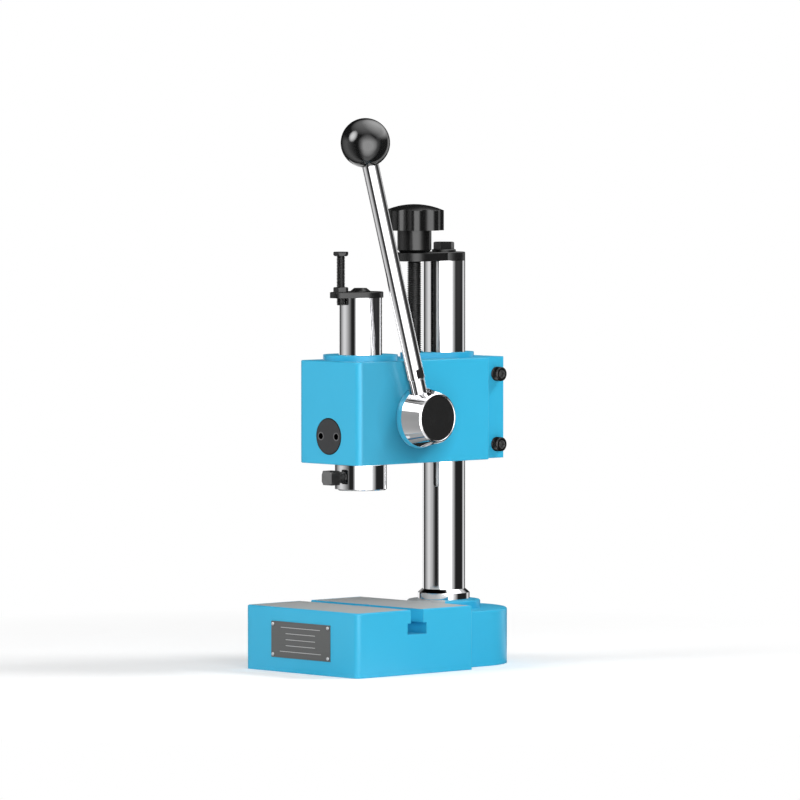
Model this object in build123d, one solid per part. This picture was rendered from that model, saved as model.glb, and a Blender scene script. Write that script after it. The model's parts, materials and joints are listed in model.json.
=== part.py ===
from build123d import *
import math
import os

# Column hand press with a rack and pinion: a lever turns a pinion that drives a ram down onto a
# T-slotted table. The head slides on a keyed column and is raised by a screw under a round knob.
#
# Millimetres, +Z up. The origin is on the base's underside, straight below the ram's axis. The
# front face looks along -Y, the column stands behind the ram (+Y) and the lever is on the +X side.

os.makedirs("parts", exist_ok=True)

# ---------------------------------------------------------------- driving dimensions: the stand
BASE_WIDTH = 115.0
BASE_FRONT = 56.0                # ram axis to the base's front face
BASE_BACK = 53.0                 # ram axis to the back of the table block
BASE_HEIGHT = 44.6
BASE_CORNER = 4.0                # rounding of the front corners
BASE_BACK_CORNER = 1.5
BASE_EDGE = 1.2                  # rounding round the table's top
LUG_RADIUS = 44.5                # the rear lug's round end, about the column's axis
LUG_HEIGHT = 39.0
LUG_EDGE = 1.4
BOSS_DIAMETER = 51.4

SLOT_NECK_WIDTH = 12.0
SLOT_NECK_DEPTH = 9.2
SLOT_HEAD_WIDTH = 18.0
SLOT_HEAD_HEIGHT = 7.8
TABLE_HOLE_DIAMETER = 14.0

COLUMN_OFFSET = 80.0             # ram axis to column axis
COLUMN_DIAMETER = 30.0
COLUMN_HEIGHT = 238.4            # above the table's top
COLUMN_SOCKET_DEPTH = 25.0
COLLAR_DIAMETER = 36.4
COLLAR_RIM = 5.0
COLLAR_HEIGHT = 7.6
KEYWAY_WIDTH = 4.6
KEYWAY_DEPTH = 2.6
KEYWAY_START = 80.0              # above the table's top
KEYWAY_TURN = 26.0               # degrees from straight ahead, towards the lever's side

FOOT_BOLT_DIAMETER = 10.0
FOOT_BOLT_HEAD_DIAMETER = 16.0
FOOT_BOLT_HEAD_HEIGHT = 10.0
FOOT_BOLT_GRIP = 18.0            # reach into the column
FOOT_BOLT_SOCKET = 8.0           # across flats
FOOT_BOLT_SOCKET_DEPTH = 5.0
FOOT_WASHER_DIAMETER = 17.6
FOOT_WASHER_THICKNESS = 1.5
FOOT_COUNTERBORE_DEPTH = 12.5

PLATE_WIDTH = 60.0
PLATE_HEIGHT = 25.0
PLATE_THICKNESS = 0.8
PLATE_LOW_EDGE = 10.0
RIVET_INSET = 2.0
RIVET_HEAD_DIAMETER = 2.4
RIVET_HEAD_HEIGHT = 0.7
RIVET_HEAD_ROUND = 0.55
RIVET_SHANK_DIAMETER = 1.4
RIVET_SHANK_LENGTH = 5.0

ARM_COLUMN_RADIUS = 15.0         # top plate, its round end on the column
ARM_SCREW_RADIUS = 12.6          # its other end, as wide as the bar between them
ARM_THICKNESS = 6.1
ARM_CHAMFER = 0.4
ARM_BOLT_DIAMETER = 8.0
ARM_BOLT_FLATS = 13.0
ARM_BOLT_HEAD_HEIGHT = 5.2
ARM_BOLT_GRIP = 20.0
ARM_WASHER_DIAMETER = 17.0
ARM_WASHER_THICKNESS = 1.8
WASHER_CHAMFER = 0.5

# ---------------------------------------------------------------- the elevating screw
SCREW_OFFSET = 51.5              # ram axis to screw axis
SCREW_DIAMETER = 10.0
SCREW_LENGTH = 139.0             # below the top plate's upper face
RING_DIAMETER = 15.6
RING_THICKNESS = 1.2
RING_POCKET_DIAMETER = 16.6
RING_POCKET_DEPTH = 2.0
RING_GROOVE_DEPTH = 0.6
RING_MOUTH = 7.0
SCREW_END_CHAMFER = 0.8
KNOB_NECK_DIAMETER = 24.0
KNOB_NECK_HEIGHT = 15.4
KNOB_NECK_CHAMFER = 1.8
KNOB_DIAMETER = 41.4
KNOB_SIDE_HEIGHT = 13.9
KNOB_DOME_HEIGHT = 4.4
KNOB_LOBES = 8
KNOB_FLUTE_RADIUS = 8.0
KNOB_FLUTE_DEPTH = 2.3
KNOB_LIP_ROUND = 4.5
KNOB_TURN = 6.0                  # degrees from the lever's side to the nearest lobe
KNOB_BORE_DEPTH = 24.0

# ---------------------------------------------------------------- the head
HEAD_WIDTH = 62.0
HEAD_FRONT = 30.0                # ram axis to the head's front face
HEAD_BACK = 94.5
HEAD_HEIGHT = 71.4
HEAD_REST_GAP = 99.1             # table top to the head's underside
HEAD_CORNER = 4.5
HEAD_BACK_CORNER = 1.0
HEAD_EDGE = 0.8
EAR_WIDTH = 40.0
EAR_END = 119.5
SLIT_WIDTH = 2.4
PAD_HEIGHT = 3.9
RAM_PAD_DIAMETER = 52.0
COLUMN_PAD_DIAMETER = 42.2
SCREW_PAD_DIAMETER = 20.0
KEY_LENGTH = 20.0
KEY_LOW_END = 35.0               # above the head's underside
KEY_SEAT_DEPTH = 2.4
CLAMP_DIAMETER = 6.0
CLAMP_HEAD_DIAMETER = 10.0
CLAMP_HEAD_HEIGHT = 6.0
CLAMP_SOCKET = 5.0
CLAMP_SOCKET_DEPTH = 3.0
CLAMP_CHAMFER = 0.5
CLAMP_LENGTH = 38.0
CLAMP_INSET = 7.7                # the clamp screws' axes, from the ears' end
CLAMP_HEIGHT = 34.5              # midway between the two screws, above the head's underside
CLAMP_SPACING = 49.5

PLUG_DIAMETER = 25.6
PLUG_THICKNESS = 6.0
PLUG_HEIGHT = 19.4               # above the head's underside
PLUG_HOLE_DIAMETER = 4.2
PLUG_HOLE_SPACING = 15.6
PLUG_HOLE_DEPTH = 4.0
PLUG_STAND = 0.2                 # the plug's face ahead of the head's
PLUG_CHAMFER = 0.4
SPRING_POCKET_DIAMETER = 11.0
SPRING_POCKET_DEPTH = 3.0
SPRING_DIAMETER = 9.0            # middle of the wire
SPRING_WIRE = 1.2
SPRING_TURNS = 3.5
BRAKE_DIAMETER = 14.0
BRAKE_LENGTH = 4.4
BRAKE_WRAP = 7.5                 # ram axis to the pad's front edges

# ---------------------------------------------------------------- pinion, hub and lever
GEAR_MODULE = 1.25
PINION_TEETH = 24
PINION_FACE = 22.0
RACK_OFFSET = 11.5               # ram axis to the rack's pitch line
PRESSURE_ANGLE = 20.0
DEDENDUM = 1.25                  # in modules
FLANK_STEPS = 5
BACKLASH = 0.2
PINION_HEIGHT = 32.0             # above the head's underside
PINION_BORE_DIAMETER = 34.0
SHAFT_DIAMETER = 20.0            # lever-side journal
SHAFT_END_DIAMETER = 14.0        # far-side journal
HUB_SHAFT_DIAMETER = 16.0
BUSH_LENGTH = 16.0
END_BUSH_DIAMETER = 20.0
END_WASHER_DIAMETER = 24.0
END_WASHER_THICKNESS = 2.5
END_WASHER_CHAMFER = 0.6
END_SCREW_DIAMETER = 6.0
END_SCREW_HEAD_DIAMETER = 10.5
END_SCREW_HEAD_HEIGHT = 3.2
END_SCREW_HEAD_ROUND = 2.2
END_SCREW_LENGTH = 14.0
END_SCREW_SOCKET = 4.0
END_SCREW_SOCKET_DEPTH = 1.9

HUB_FLANGE_DIAMETER = 43.2
HUB_FLANGE_LIP = 1.0
HUB_FLARE_LENGTH = 3.8
HUB_ROOT_DIAMETER = 41.0
HUB_END_DIAMETER = 34.6
HUB_LENGTH = 19.2
HUB_END_CHAMFER = 0.7
CAP_DIAMETER = 31.2
CAP_THICKNESS = 1.8
CAP_RECESS = 0.35                # the cap's face below the hub's end
CAP_CHAMFER = 0.3
HUB_KEY_WIDTH = 5.0
HUB_KEY_LENGTH = 10.0
HUB_KEY_DEPTH = 2.6

LEVER_X = 37.4
LEVER_LENGTH = 199.0             # pinion axis to the ball's centre
LEVER_LEAN = 16.5                # degrees ahead of upright at rest
LEVER_DIAMETER = 11.6
LEVER_NECK_DIAMETER = 10.4
LEVER_ROOT = 10.4                # from the pinion axis
LEVER_SHOULDER = 28.0
LEVER_FLATS_START = 29.2
LEVER_FLATS_LENGTH = 6.6
LEVER_FLATS_WIDTH = 9.4
LEVER_CHAMFER = 0.5
LEVER_SPOT_DIAMETER = 14.0
LEVER_SPOT_RADIUS = 15.6         # from the pinion axis to the milled spot
LEVER_TIP_LENGTH = 14.0
LEVER_TIP_DIAMETER = 10.0
BALL_DIAMETER = 34.0
BALL_FLAT_DIAMETER = 13.0

# ---------------------------------------------------------------- the ram
RAM_DIAMETER = 30.0
RAM_LENGTH = 133.7
RAM_HEAD_DIAMETER = 36.6
RAM_HEAD_LENGTH = 18.4
RAM_HEAD_CHAMFER = 0.8
RACK_SPACES_BELOW = 3            # tooth spaces under the pinion's axis at rest
TOOL_BORE_DIAMETER = 10.0
TOOL_BORE_DEPTH = 25.0
TOOL_SCREW_HEIGHT = 9.2          # above the ram's lower face
TOOL_SCREW_DIAMETER = 8.0
TOOL_SCREW_SQUARE = 10.0
TOOL_SCREW_HEAD = 8.2
TOOL_SCREW_NECK = 5.6
TOOL_SCREW_CHAMFER = 0.6
CROWN_DIAMETER = 32.0
CROWN_THICKNESS = 4.1
CROWN_EAR_RADIUS = 7.6
CROWN_CHAMFER = 0.4
CROWN_SCREW_HEAD_DIAMETER = 14.0
CROWN_SCREW_HEAD_HEIGHT = 2.5
CROWN_SCREW_TOP_DIAMETER = 8.8
CROWN_SCREW_RIM = 0.4            # upright edge under the sloped side
CROWN_SCREW_SOCKET = 5.0
CROWN_SCREW_SOCKET_DEPTH = 1.6
CROWN_SCREW_DIAMETER = 8.0
CROWN_SCREW_GRIP = 12.0
STOP_OFFSET = 18.5               # in front of the ram's axis
STOP_DIAMETER = 6.0
STOP_FLATS = 9.2
STOP_HEAD_HEIGHT = 3.1
STOP_HEAD_ABOVE_CROWN = 24.9
STOP_NUT_HEIGHT = 3.4
STOP_END_CHAMFER = 0.6
STOP_REACH = 5.0                 # below the crown plate at rest

# ---------------------------------------------------------------- clearances
SNUG = 0.02                      # radial, between pieces that are pressed, screwed or seated
RUNNING = 0.05                   # radial, between pieces that turn or slide
FACE_GAP = 0.3                   # between faces that pass each other
KEY_SIDE_GAP = 0.1
THRUST_GAP = 0.1                 # under the knob, where it turns on the top plate
TAP_EXTRA = 2.0                  # a tapped hole beyond its screw's end
PAST = 1.0                       # how far a cut runs out of the piece that it cuts
TOUCH = 0.01                     # how near two places are the same place

# ---------------------------------------------------------------- places worked out from them
TABLE_TOP = BASE_HEIGHT
COLUMN_FOOT = TABLE_TOP - COLUMN_SOCKET_DEPTH
COLUMN_TOP = TABLE_TOP + COLUMN_HEIGHT
ARM_TOP = COLUMN_TOP + ARM_THICKNESS
HEAD_BOTTOM = TABLE_TOP + HEAD_REST_GAP
HEAD_TOP = HEAD_BOTTOM + HEAD_HEIGHT
PAD_TOP = HEAD_TOP + PAD_HEIGHT
HEAD_SIDE = HEAD_WIDTH / 2
PINION_Z = HEAD_BOTTOM + PINION_HEIGHT
PITCH_RADIUS = GEAR_MODULE * PINION_TEETH / 2
TOOTH_PITCH = math.pi * GEAR_MODULE
PINION_Y = RACK_OFFSET + PITCH_RADIUS
TIP_RADIUS = PITCH_RADIUS + GEAR_MODULE
ROOT_RADIUS = PITCH_RADIUS - DEDENDUM * GEAR_MODULE
RACK_TIP = RACK_OFFSET + GEAR_MODULE
RACK_ROOT = RACK_OFFSET - DEDENDUM * GEAR_MODULE
RACK_START = PINION_Z - (RACK_SPACES_BELOW + 0.5) * TOOTH_PITCH
RAM_BOTTOM = HEAD_BOTTOM - FACE_GAP - RAM_HEAD_LENGTH
RAM_TOP = RAM_BOTTOM + RAM_LENGTH
CROWN_TOP = RAM_TOP + CROWN_THICKNESS
CLAMP_Y = EAR_END - CLAMP_INSET
HUB_START = HEAD_SIDE + FACE_GAP
HUB_END = HUB_START + HUB_LENGTH
HALF_FACE = PINION_FACE / 2
PLUG_Z = HEAD_BOTTOM + PLUG_HEIGHT
TOOL_SCREW_Z = RAM_BOTTOM + TOOL_SCREW_HEIGHT


# ---------------------------------------------------------------- helpers
def disc(radius, low, high, x=0.0, y=0.0):
    """A round bar that stands upright."""
    bar = Cylinder(radius, high - low, align=(Align.CENTER, Align.CENTER, Align.MIN))
    return Pos(x, y, low) * bar


def bar_x(radius, start, end, y, z):
    """A round bar along X."""
    bar = Cylinder(radius, end - start, align=(Align.CENTER, Align.CENTER, Align.MIN))
    return Pos(start, y, z) * Rot(0, 90, 0) * bar


def bar_y(radius, start, end, x, z):
    """A round bar along Y."""
    bar = Cylinder(radius, end - start, align=(Align.CENTER, Align.CENTER, Align.MIN))
    return Pos(x, start, z) * Rot(-90, 0, 0) * bar


def block(x, y, z):
    """A box between three (low, high) pairs."""
    low = (x[0], y[0], z[0])
    size = (x[1] - x[0], y[1] - y[0], z[1] - z[0])
    return Pos(*low) * Box(*size, align=(Align.MIN, Align.MIN, Align.MIN))


def hexagon(flats, low, high, x=0.0, y=0.0):
    """An upright hexagonal bar, with its flats' distance given."""
    outline = RegularPolygon(flats / 2, 6, major_radius=False)
    return Pos(x, y, low) * extrude(outline, high - low)


def upright(solid, x, y):
    """The edges of a solid that stand at a place in plan."""
    found = []
    for edge in solid.edges().filter_by(Axis.Z):
        middle = edge.center()
        if abs(abs(middle.X) - x) < TOUCH and abs(middle.Y - y) < TOUCH:
            found.append(edge)
    return found


def round_top(solid, height, radius):
    """Rounds the edges of the face that closes a solid at a height."""
    face = [f for f in solid.faces().filter_by(Axis.Z) if abs(f.center().Z - height) < TOUCH]
    return fillet(face[0].edges(), radius)


def linked_discs(radius_a, y_a, radius_b, y_b, low, high):
    """Two upright discs on the Y axis and the tangent web between them."""
    first = Pos(0, y_a) * Circle(radius_a)
    second = Pos(0, y_b) * Circle(radius_b)
    outline = make_hull([*first.edges(), *second.edges()])
    return Pos(0, 0, low) * extrude(outline, high - low)


def turned_x(profile, y, z):
    """A turned piece on an axis along X, from (x, radius) corners."""
    outline = make_face(Polyline(*profile, close=True))
    return Pos(0, y, z) * revolve(outline, Axis.X)


def one_solid(shape):
    """The single solid in a shape that came from cuts and joins."""
    solids = shape.solids()
    assert len(solids) == 1, f"{len(solids)} solids"
    return solids[0]


def save(name, shape):
    solids = shape.solids()
    export_step(Compound(children=list(solids)) if len(solids) > 1 else solids[0], f"parts/{name}.step")


# ---------------------------------------------------------------- stand
def base_casting():
    half = BASE_WIDTH / 2
    table = block((-half, half), (-BASE_FRONT, BASE_BACK), (0, TABLE_TOP))
    table = fillet(upright(table, half, -BASE_FRONT), BASE_CORNER)
    table = fillet(upright(table, half, BASE_BACK), BASE_BACK_CORNER)
    table = round_top(table, TABLE_TOP, BASE_EDGE)
    lug = block((-LUG_RADIUS, LUG_RADIUS), (0, COLUMN_OFFSET), (0, LUG_HEIGHT))
    lug += disc(LUG_RADIUS, 0, LUG_HEIGHT, y=COLUMN_OFFSET)
    lug = round_top(lug, LUG_HEIGHT, LUG_EDGE)
    boss = disc(BOSS_DIAMETER / 2, 0, TABLE_TOP, y=COLUMN_OFFSET)
    boss = round_top(boss, TABLE_TOP, BASE_EDGE)
    base = table + lug + boss

    neck_half = SLOT_NECK_WIDTH / 2
    slot_half = SLOT_HEAD_WIDTH / 2
    neck_low = TABLE_TOP - SLOT_NECK_DEPTH
    head_low = neck_low - SLOT_HEAD_HEIGHT
    past = (-BASE_WIDTH, BASE_WIDTH)
    base -= block(past, (-neck_half, neck_half), (neck_low, TABLE_TOP + PAST))
    base -= block(past, (-slot_half, slot_half), (head_low, neck_low))
    base -= disc(TABLE_HOLE_DIAMETER / 2, -PAST, TABLE_TOP + PAST)
    base -= disc(COLUMN_DIAMETER / 2 + SNUG, COLUMN_FOOT, TABLE_TOP + PAST, y=COLUMN_OFFSET)
    base -= disc(FOOT_BOLT_DIAMETER / 2 + FACE_GAP, -PAST, TABLE_TOP, y=COLUMN_OFFSET)
    base -= disc(FOOT_WASHER_DIAMETER / 2 + FACE_GAP, -PAST, FOOT_COUNTERBORE_DEPTH, y=COLUMN_OFFSET)
    for x, z in rivet_places():
        base -= bar_y(RIVET_SHANK_DIAMETER / 2 + SNUG, -BASE_FRONT - PAST, rivet_tip() + FACE_GAP, x, z)
    return one_solid(base)


def rivet_places():
    """The four rivets' (x, z), in from the name plate's corners."""
    across = PLATE_WIDTH / 2 - RIVET_INSET
    low = PLATE_LOW_EDGE + RIVET_INSET
    high = PLATE_LOW_EDGE + PLATE_HEIGHT - RIVET_INSET
    return [(x, z) for x in (-across, across) for z in (low, high)]


def rivet_tip():
    return -BASE_FRONT - PLATE_THICKNESS + RIVET_SHANK_LENGTH


def name_plate():
    half = PLATE_WIDTH / 2
    front = -BASE_FRONT - PLATE_THICKNESS
    plate = block((-half, half), (front, -BASE_FRONT), (PLATE_LOW_EDGE, PLATE_LOW_EDGE + PLATE_HEIGHT))
    for x, z in rivet_places():
        plate -= bar_y(RIVET_SHANK_DIAMETER / 2 + SNUG, front - PAST, PAST - BASE_FRONT, x, z)
    return one_solid(plate)


def name_plate_rivets():
    front = -BASE_FRONT - PLATE_THICKNESS
    rivets = []
    for x, z in rivet_places():
        shank = bar_y(RIVET_SHANK_DIAMETER / 2, front, rivet_tip(), x, z)
        head = bar_y(RIVET_HEAD_DIAMETER / 2, front - RIVET_HEAD_HEIGHT, front, x, z)
        rim = head.edges().filter_by(GeomType.CIRCLE).sort_by(Axis.Y)[0]
        rivets.append(one_solid(shank + fillet(rim, RIVET_HEAD_ROUND)))
    return Compound(children=rivets)


def column():
    radius = COLUMN_DIAMETER / 2
    bar = disc(radius, COLUMN_FOOT, COLUMN_TOP, y=COLUMN_OFFSET)
    low = TABLE_TOP + KEYWAY_START
    width = KEYWAY_WIDTH
    across = (-radius - PAST, KEYWAY_DEPTH - radius)
    way = block((-width / 2, width / 2), across, (low + width / 2, COLUMN_TOP + PAST))
    way += bar_y(width / 2, *across, 0, low + width / 2)
    bar -= Pos(0, COLUMN_OFFSET, 0) * Rot(0, 0, KEYWAY_TURN) * way
    foot_tap = COLUMN_FOOT + FOOT_BOLT_GRIP + TAP_EXTRA
    top_tap = COLUMN_TOP - ARM_BOLT_GRIP - TAP_EXTRA
    bar -= disc(FOOT_BOLT_DIAMETER / 2 + SNUG, COLUMN_FOOT - PAST, foot_tap, y=COLUMN_OFFSET)
    bar -= disc(ARM_BOLT_DIAMETER / 2 + SNUG, top_tap, COLUMN_TOP + PAST, y=COLUMN_OFFSET)
    return one_solid(bar)


def column_collar():
    radius = COLLAR_DIAMETER / 2
    ring = disc(radius, TABLE_TOP, TABLE_TOP + COLLAR_HEIGHT, y=COLUMN_OFFSET)
    top_rim = ring.edges().filter_by(GeomType.CIRCLE).sort_by(Axis.Z)[-1]
    slope = radius - COLUMN_DIAMETER / 2 - FACE_GAP
    ring = chamfer(top_rim, COLLAR_HEIGHT - COLLAR_RIM, slope)
    past_top = TABLE_TOP + COLLAR_HEIGHT + PAST
    ring -= disc(COLUMN_DIAMETER / 2 + SNUG, TABLE_TOP - PAST, past_top, y=COLUMN_OFFSET)
    return one_solid(ring)


def column_foot_bolt():
    seat = FOOT_COUNTERBORE_DEPTH - FOOT_WASHER_THICKNESS
    low = seat - FOOT_BOLT_HEAD_HEIGHT
    bolt = disc(FOOT_BOLT_HEAD_DIAMETER / 2, low, seat, y=COLUMN_OFFSET)
    bolt += disc(FOOT_BOLT_DIAMETER / 2, seat, COLUMN_FOOT + FOOT_BOLT_GRIP, y=COLUMN_OFFSET)
    bolt -= hexagon(FOOT_BOLT_SOCKET, low - PAST, low + FOOT_BOLT_SOCKET_DEPTH, y=COLUMN_OFFSET)
    return one_solid(bolt)


def column_foot_washer():
    seat = FOOT_COUNTERBORE_DEPTH
    washer = disc(FOOT_WASHER_DIAMETER / 2, seat - FOOT_WASHER_THICKNESS, seat, y=COLUMN_OFFSET)
    washer -= disc(FOOT_BOLT_DIAMETER / 2 + FACE_GAP, 0, seat + PAST, y=COLUMN_OFFSET)
    return one_solid(washer)


def top_plate():
    arm = disc(ARM_COLUMN_RADIUS, COLUMN_TOP, ARM_TOP, y=COLUMN_OFFSET)
    arm += disc(ARM_SCREW_RADIUS, COLUMN_TOP, ARM_TOP, y=SCREW_OFFSET)
    across = (-ARM_SCREW_RADIUS, ARM_SCREW_RADIUS)
    arm += block(across, (SCREW_OFFSET, COLUMN_OFFSET), (COLUMN_TOP, ARM_TOP))
    arm = chamfer(arm.faces().sort_by(Axis.Z)[-1].edges(), ARM_CHAMFER)
    through = (COLUMN_TOP - PAST, ARM_TOP + PAST)
    arm -= disc(ARM_BOLT_DIAMETER / 2 + FACE_GAP, *through, y=COLUMN_OFFSET)
    arm -= disc(SCREW_DIAMETER / 2 + RUNNING, *through, y=SCREW_OFFSET)
    arm -= disc(RING_POCKET_DIAMETER / 2, COLUMN_TOP - PAST, COLUMN_TOP + RING_POCKET_DEPTH, y=SCREW_OFFSET)
    return one_solid(arm)


def top_plate_washer():
    high = ARM_TOP + ARM_WASHER_THICKNESS
    washer = disc(ARM_WASHER_DIAMETER / 2, ARM_TOP, high, y=COLUMN_OFFSET)
    washer = chamfer(washer.edges().filter_by(GeomType.CIRCLE).sort_by(Axis.Z)[-1], WASHER_CHAMFER)
    washer -= disc(ARM_BOLT_DIAMETER / 2 + FACE_GAP, ARM_TOP - PAST, high + PAST, y=COLUMN_OFFSET)
    return one_solid(washer)


def hex_head(flats, low, high, y):
    """A hexagonal head or nut, its corners turned off at the top by a 30 degree cone."""
    head = hexagon(flats, low, high, y=y)
    corner = flats / math.sqrt(3)
    cone = disc(corner + SNUG, low, high, y=y)
    rim = cone.edges().filter_by(GeomType.CIRCLE).sort_by(Axis.Z)[-1]
    turned_off = corner - flats / 2
    return head & chamfer(rim, turned_off * math.tan(math.radians(30)), turned_off)


def top_plate_bolt():
    seat = ARM_TOP + ARM_WASHER_THICKNESS
    bolt = hex_head(ARM_BOLT_FLATS, seat, seat + ARM_BOLT_HEAD_HEIGHT, COLUMN_OFFSET)
    bolt += disc(ARM_BOLT_DIAMETER / 2, COLUMN_TOP - ARM_BOLT_GRIP, seat, y=COLUMN_OFFSET)
    return one_solid(bolt)


# ---------------------------------------------------------------- elevating screw
def ring_low():
    """The retaining ring runs just under the floor of its pocket in the top plate."""
    return COLUMN_TOP + RING_POCKET_DEPTH - FACE_GAP - RING_THICKNESS


def elevating_screw():
    high = ARM_TOP + KNOB_BORE_DEPTH
    screw = disc(SCREW_DIAMETER / 2, ARM_TOP - SCREW_LENGTH, high, y=SCREW_OFFSET)
    ends = screw.edges().filter_by(GeomType.CIRCLE)
    screw = chamfer(ends, SCREW_END_CHAMFER)
    groove = disc(SCREW_DIAMETER, ring_low(), ring_low() + RING_THICKNESS, y=SCREW_OFFSET)
    groove -= disc(SCREW_DIAMETER / 2 - RING_GROOVE_DEPTH, 0, ARM_TOP, y=SCREW_OFFSET)
    return one_solid(screw - groove)


def screw_retaining_ring():
    low = ring_low()
    inner = SCREW_DIAMETER / 2 - RING_GROOVE_DEPTH + SNUG
    ring = disc(RING_DIAMETER / 2, low, low + RING_THICKNESS, y=SCREW_OFFSET)
    through = (low - PAST, low + RING_THICKNESS + PAST)
    ring -= disc(inner, *through, y=SCREW_OFFSET)
    ring -= block((-RING_MOUTH / 2, RING_MOUTH / 2), (SCREW_OFFSET, SCREW_OFFSET + RING_DIAMETER), through)
    return one_solid(ring)


def elevating_knob():
    radius = KNOB_DIAMETER / 2
    low = ARM_TOP + THRUST_GAP
    neck_top = low + KNOB_NECK_HEIGHT
    side_top = neck_top + KNOB_SIDE_HEIGHT
    neck = disc(KNOB_NECK_DIAMETER / 2, low, neck_top + PAST, y=SCREW_OFFSET)
    neck = chamfer(neck.edges().filter_by(GeomType.CIRCLE).sort_by(Axis.Z)[0], KNOB_NECK_CHAMFER)
    dome_radius = (radius ** 2 + KNOB_DOME_HEIGHT ** 2) / (2 * KNOB_DOME_HEIGHT)
    head = disc(radius, neck_top, side_top + KNOB_DOME_HEIGHT, y=SCREW_OFFSET)
    flute_centre = radius + KNOB_FLUTE_RADIUS - KNOB_FLUTE_DEPTH
    for turn in range(KNOB_LOBES):
        flute = disc(KNOB_FLUTE_RADIUS, neck_top - PAST, side_top + KNOB_DOME_HEIGHT + PAST, x=flute_centre)
        head -= Pos(0, SCREW_OFFSET, 0) * Rot(0, 0, KNOB_TURN + 360 / KNOB_LOBES * (turn + 0.5)) * flute
    head = fillet(head.edges().filter_by(Axis.Z), KNOB_LIP_ROUND)
    head &= Pos(0, SCREW_OFFSET, side_top + KNOB_DOME_HEIGHT - dome_radius) * Sphere(dome_radius)
    knob = neck + head
    knob -= disc(SCREW_DIAMETER / 2 + SNUG, low - PAST, ARM_TOP + KNOB_BORE_DEPTH + FACE_GAP, y=SCREW_OFFSET)
    return one_solid(knob)


# ---------------------------------------------------------------- head
def key_block(width, inner, outer, low, high):
    """A bar on the column's keyway, between two radii from the column's axis."""
    bar = block((-width / 2, width / 2), (-outer, -inner), (low, high))
    return Pos(0, COLUMN_OFFSET, 0) * Rot(0, 0, KEYWAY_TURN) * bar


def key_span():
    low = HEAD_BOTTOM + KEY_LOW_END
    return low, low + KEY_LENGTH


def clamp_heights():
    middle = HEAD_BOTTOM + CLAMP_HEIGHT
    return middle - CLAMP_SPACING / 2, middle + CLAMP_SPACING / 2


def head_casting():
    body = block((-HEAD_SIDE, HEAD_SIDE), (-HEAD_FRONT, HEAD_BACK), (HEAD_BOTTOM, HEAD_TOP))
    body = fillet(upright(body, HEAD_SIDE, -HEAD_FRONT), HEAD_CORNER)
    body = fillet(upright(body, HEAD_SIDE, HEAD_BACK), HEAD_BACK_CORNER)
    body = round_top(body, HEAD_TOP, HEAD_EDGE)
    body = round_top(body, HEAD_BOTTOM, HEAD_EDGE)
    ear_half = EAR_WIDTH / 2
    ears = block((-ear_half, ear_half), (COLUMN_OFFSET, EAR_END), (HEAD_BOTTOM, HEAD_TOP))
    ears = fillet(upright(ears, ear_half, EAR_END), HEAD_BACK_CORNER)
    pads = disc(RAM_PAD_DIAMETER / 2, HEAD_TOP - PAST, PAD_TOP)
    pads += linked_discs(COLUMN_PAD_DIAMETER / 2, COLUMN_OFFSET, SCREW_PAD_DIAMETER / 2, SCREW_OFFSET,
                         HEAD_TOP - PAST, PAD_TOP)
    head = body + ears + pads

    below = HEAD_BOTTOM - PAST
    above = PAD_TOP + PAST
    head -= disc(RAM_DIAMETER / 2 + RUNNING, below, above)
    head -= disc(COLUMN_DIAMETER / 2 + RUNNING, below, above, y=COLUMN_OFFSET)
    head -= disc(SCREW_DIAMETER / 2 + RUNNING, below, above, y=SCREW_OFFSET)
    head -= block((-SLIT_WIDTH / 2, SLIT_WIDTH / 2), (COLUMN_OFFSET, EAR_END + PAST), (below, above))
    head -= bar_x(PINION_BORE_DIAMETER / 2, -HALF_FACE - FACE_GAP, HEAD_SIDE + PAST, PINION_Y, PINION_Z)
    head -= bar_x(END_BUSH_DIAMETER / 2 + SNUG, -HEAD_SIDE - PAST, 0, PINION_Y, PINION_Z)
    plug_floor = PLUG_THICKNESS + SNUG - HEAD_FRONT
    head -= bar_y(PLUG_DIAMETER / 2 + SNUG, -HEAD_FRONT - PAST, plug_floor, 0, PLUG_Z)
    head -= bar_y(BRAKE_DIAMETER / 2 + SNUG, -HEAD_FRONT, 0, 0, PLUG_Z)
    low, high = key_span()
    seat = COLUMN_DIAMETER / 2 + KEY_SEAT_DEPTH
    head -= key_block(KEYWAY_WIDTH - 2 * KEY_SIDE_GAP, COLUMN_DIAMETER / 2 - PAST, seat, low, high)
    for z in clamp_heights():
        head -= bar_x(CLAMP_DIAMETER / 2 + RUNNING, -ear_half - PAST, ear_half + PAST, CLAMP_Y, z)
    return one_solid(head)


def column_key():
    low, high = key_span()
    inner = COLUMN_DIAMETER / 2 - KEYWAY_DEPTH + FACE_GAP
    outer = COLUMN_DIAMETER / 2 + KEY_SEAT_DEPTH - SNUG
    width = KEYWAY_WIDTH - 2 * KEY_SIDE_GAP - 2 * SNUG
    return one_solid(key_block(width, inner, outer, low + SNUG, high - SNUG))


def clamp_screw(z):
    ear = EAR_WIDTH / 2
    seat = ear + SNUG
    screw = bar_x(CLAMP_DIAMETER / 2, seat - CLAMP_LENGTH, seat, CLAMP_Y, z)
    head = bar_x(CLAMP_HEAD_DIAMETER / 2, seat, seat + CLAMP_HEAD_HEIGHT, CLAMP_Y, z)
    rim = head.edges().filter_by(GeomType.CIRCLE).sort_by(Axis.X)[-1]
    head = chamfer(rim, CLAMP_CHAMFER)
    socket = extrude(RegularPolygon(CLAMP_SOCKET / 2, 6, major_radius=False), CLAMP_HEAD_HEIGHT)
    floor = seat + CLAMP_HEAD_HEIGHT - CLAMP_SOCKET_DEPTH
    screw += head - Pos(floor, CLAMP_Y, z) * Rot(0, 90, 0) * socket
    return one_solid(screw)


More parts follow.
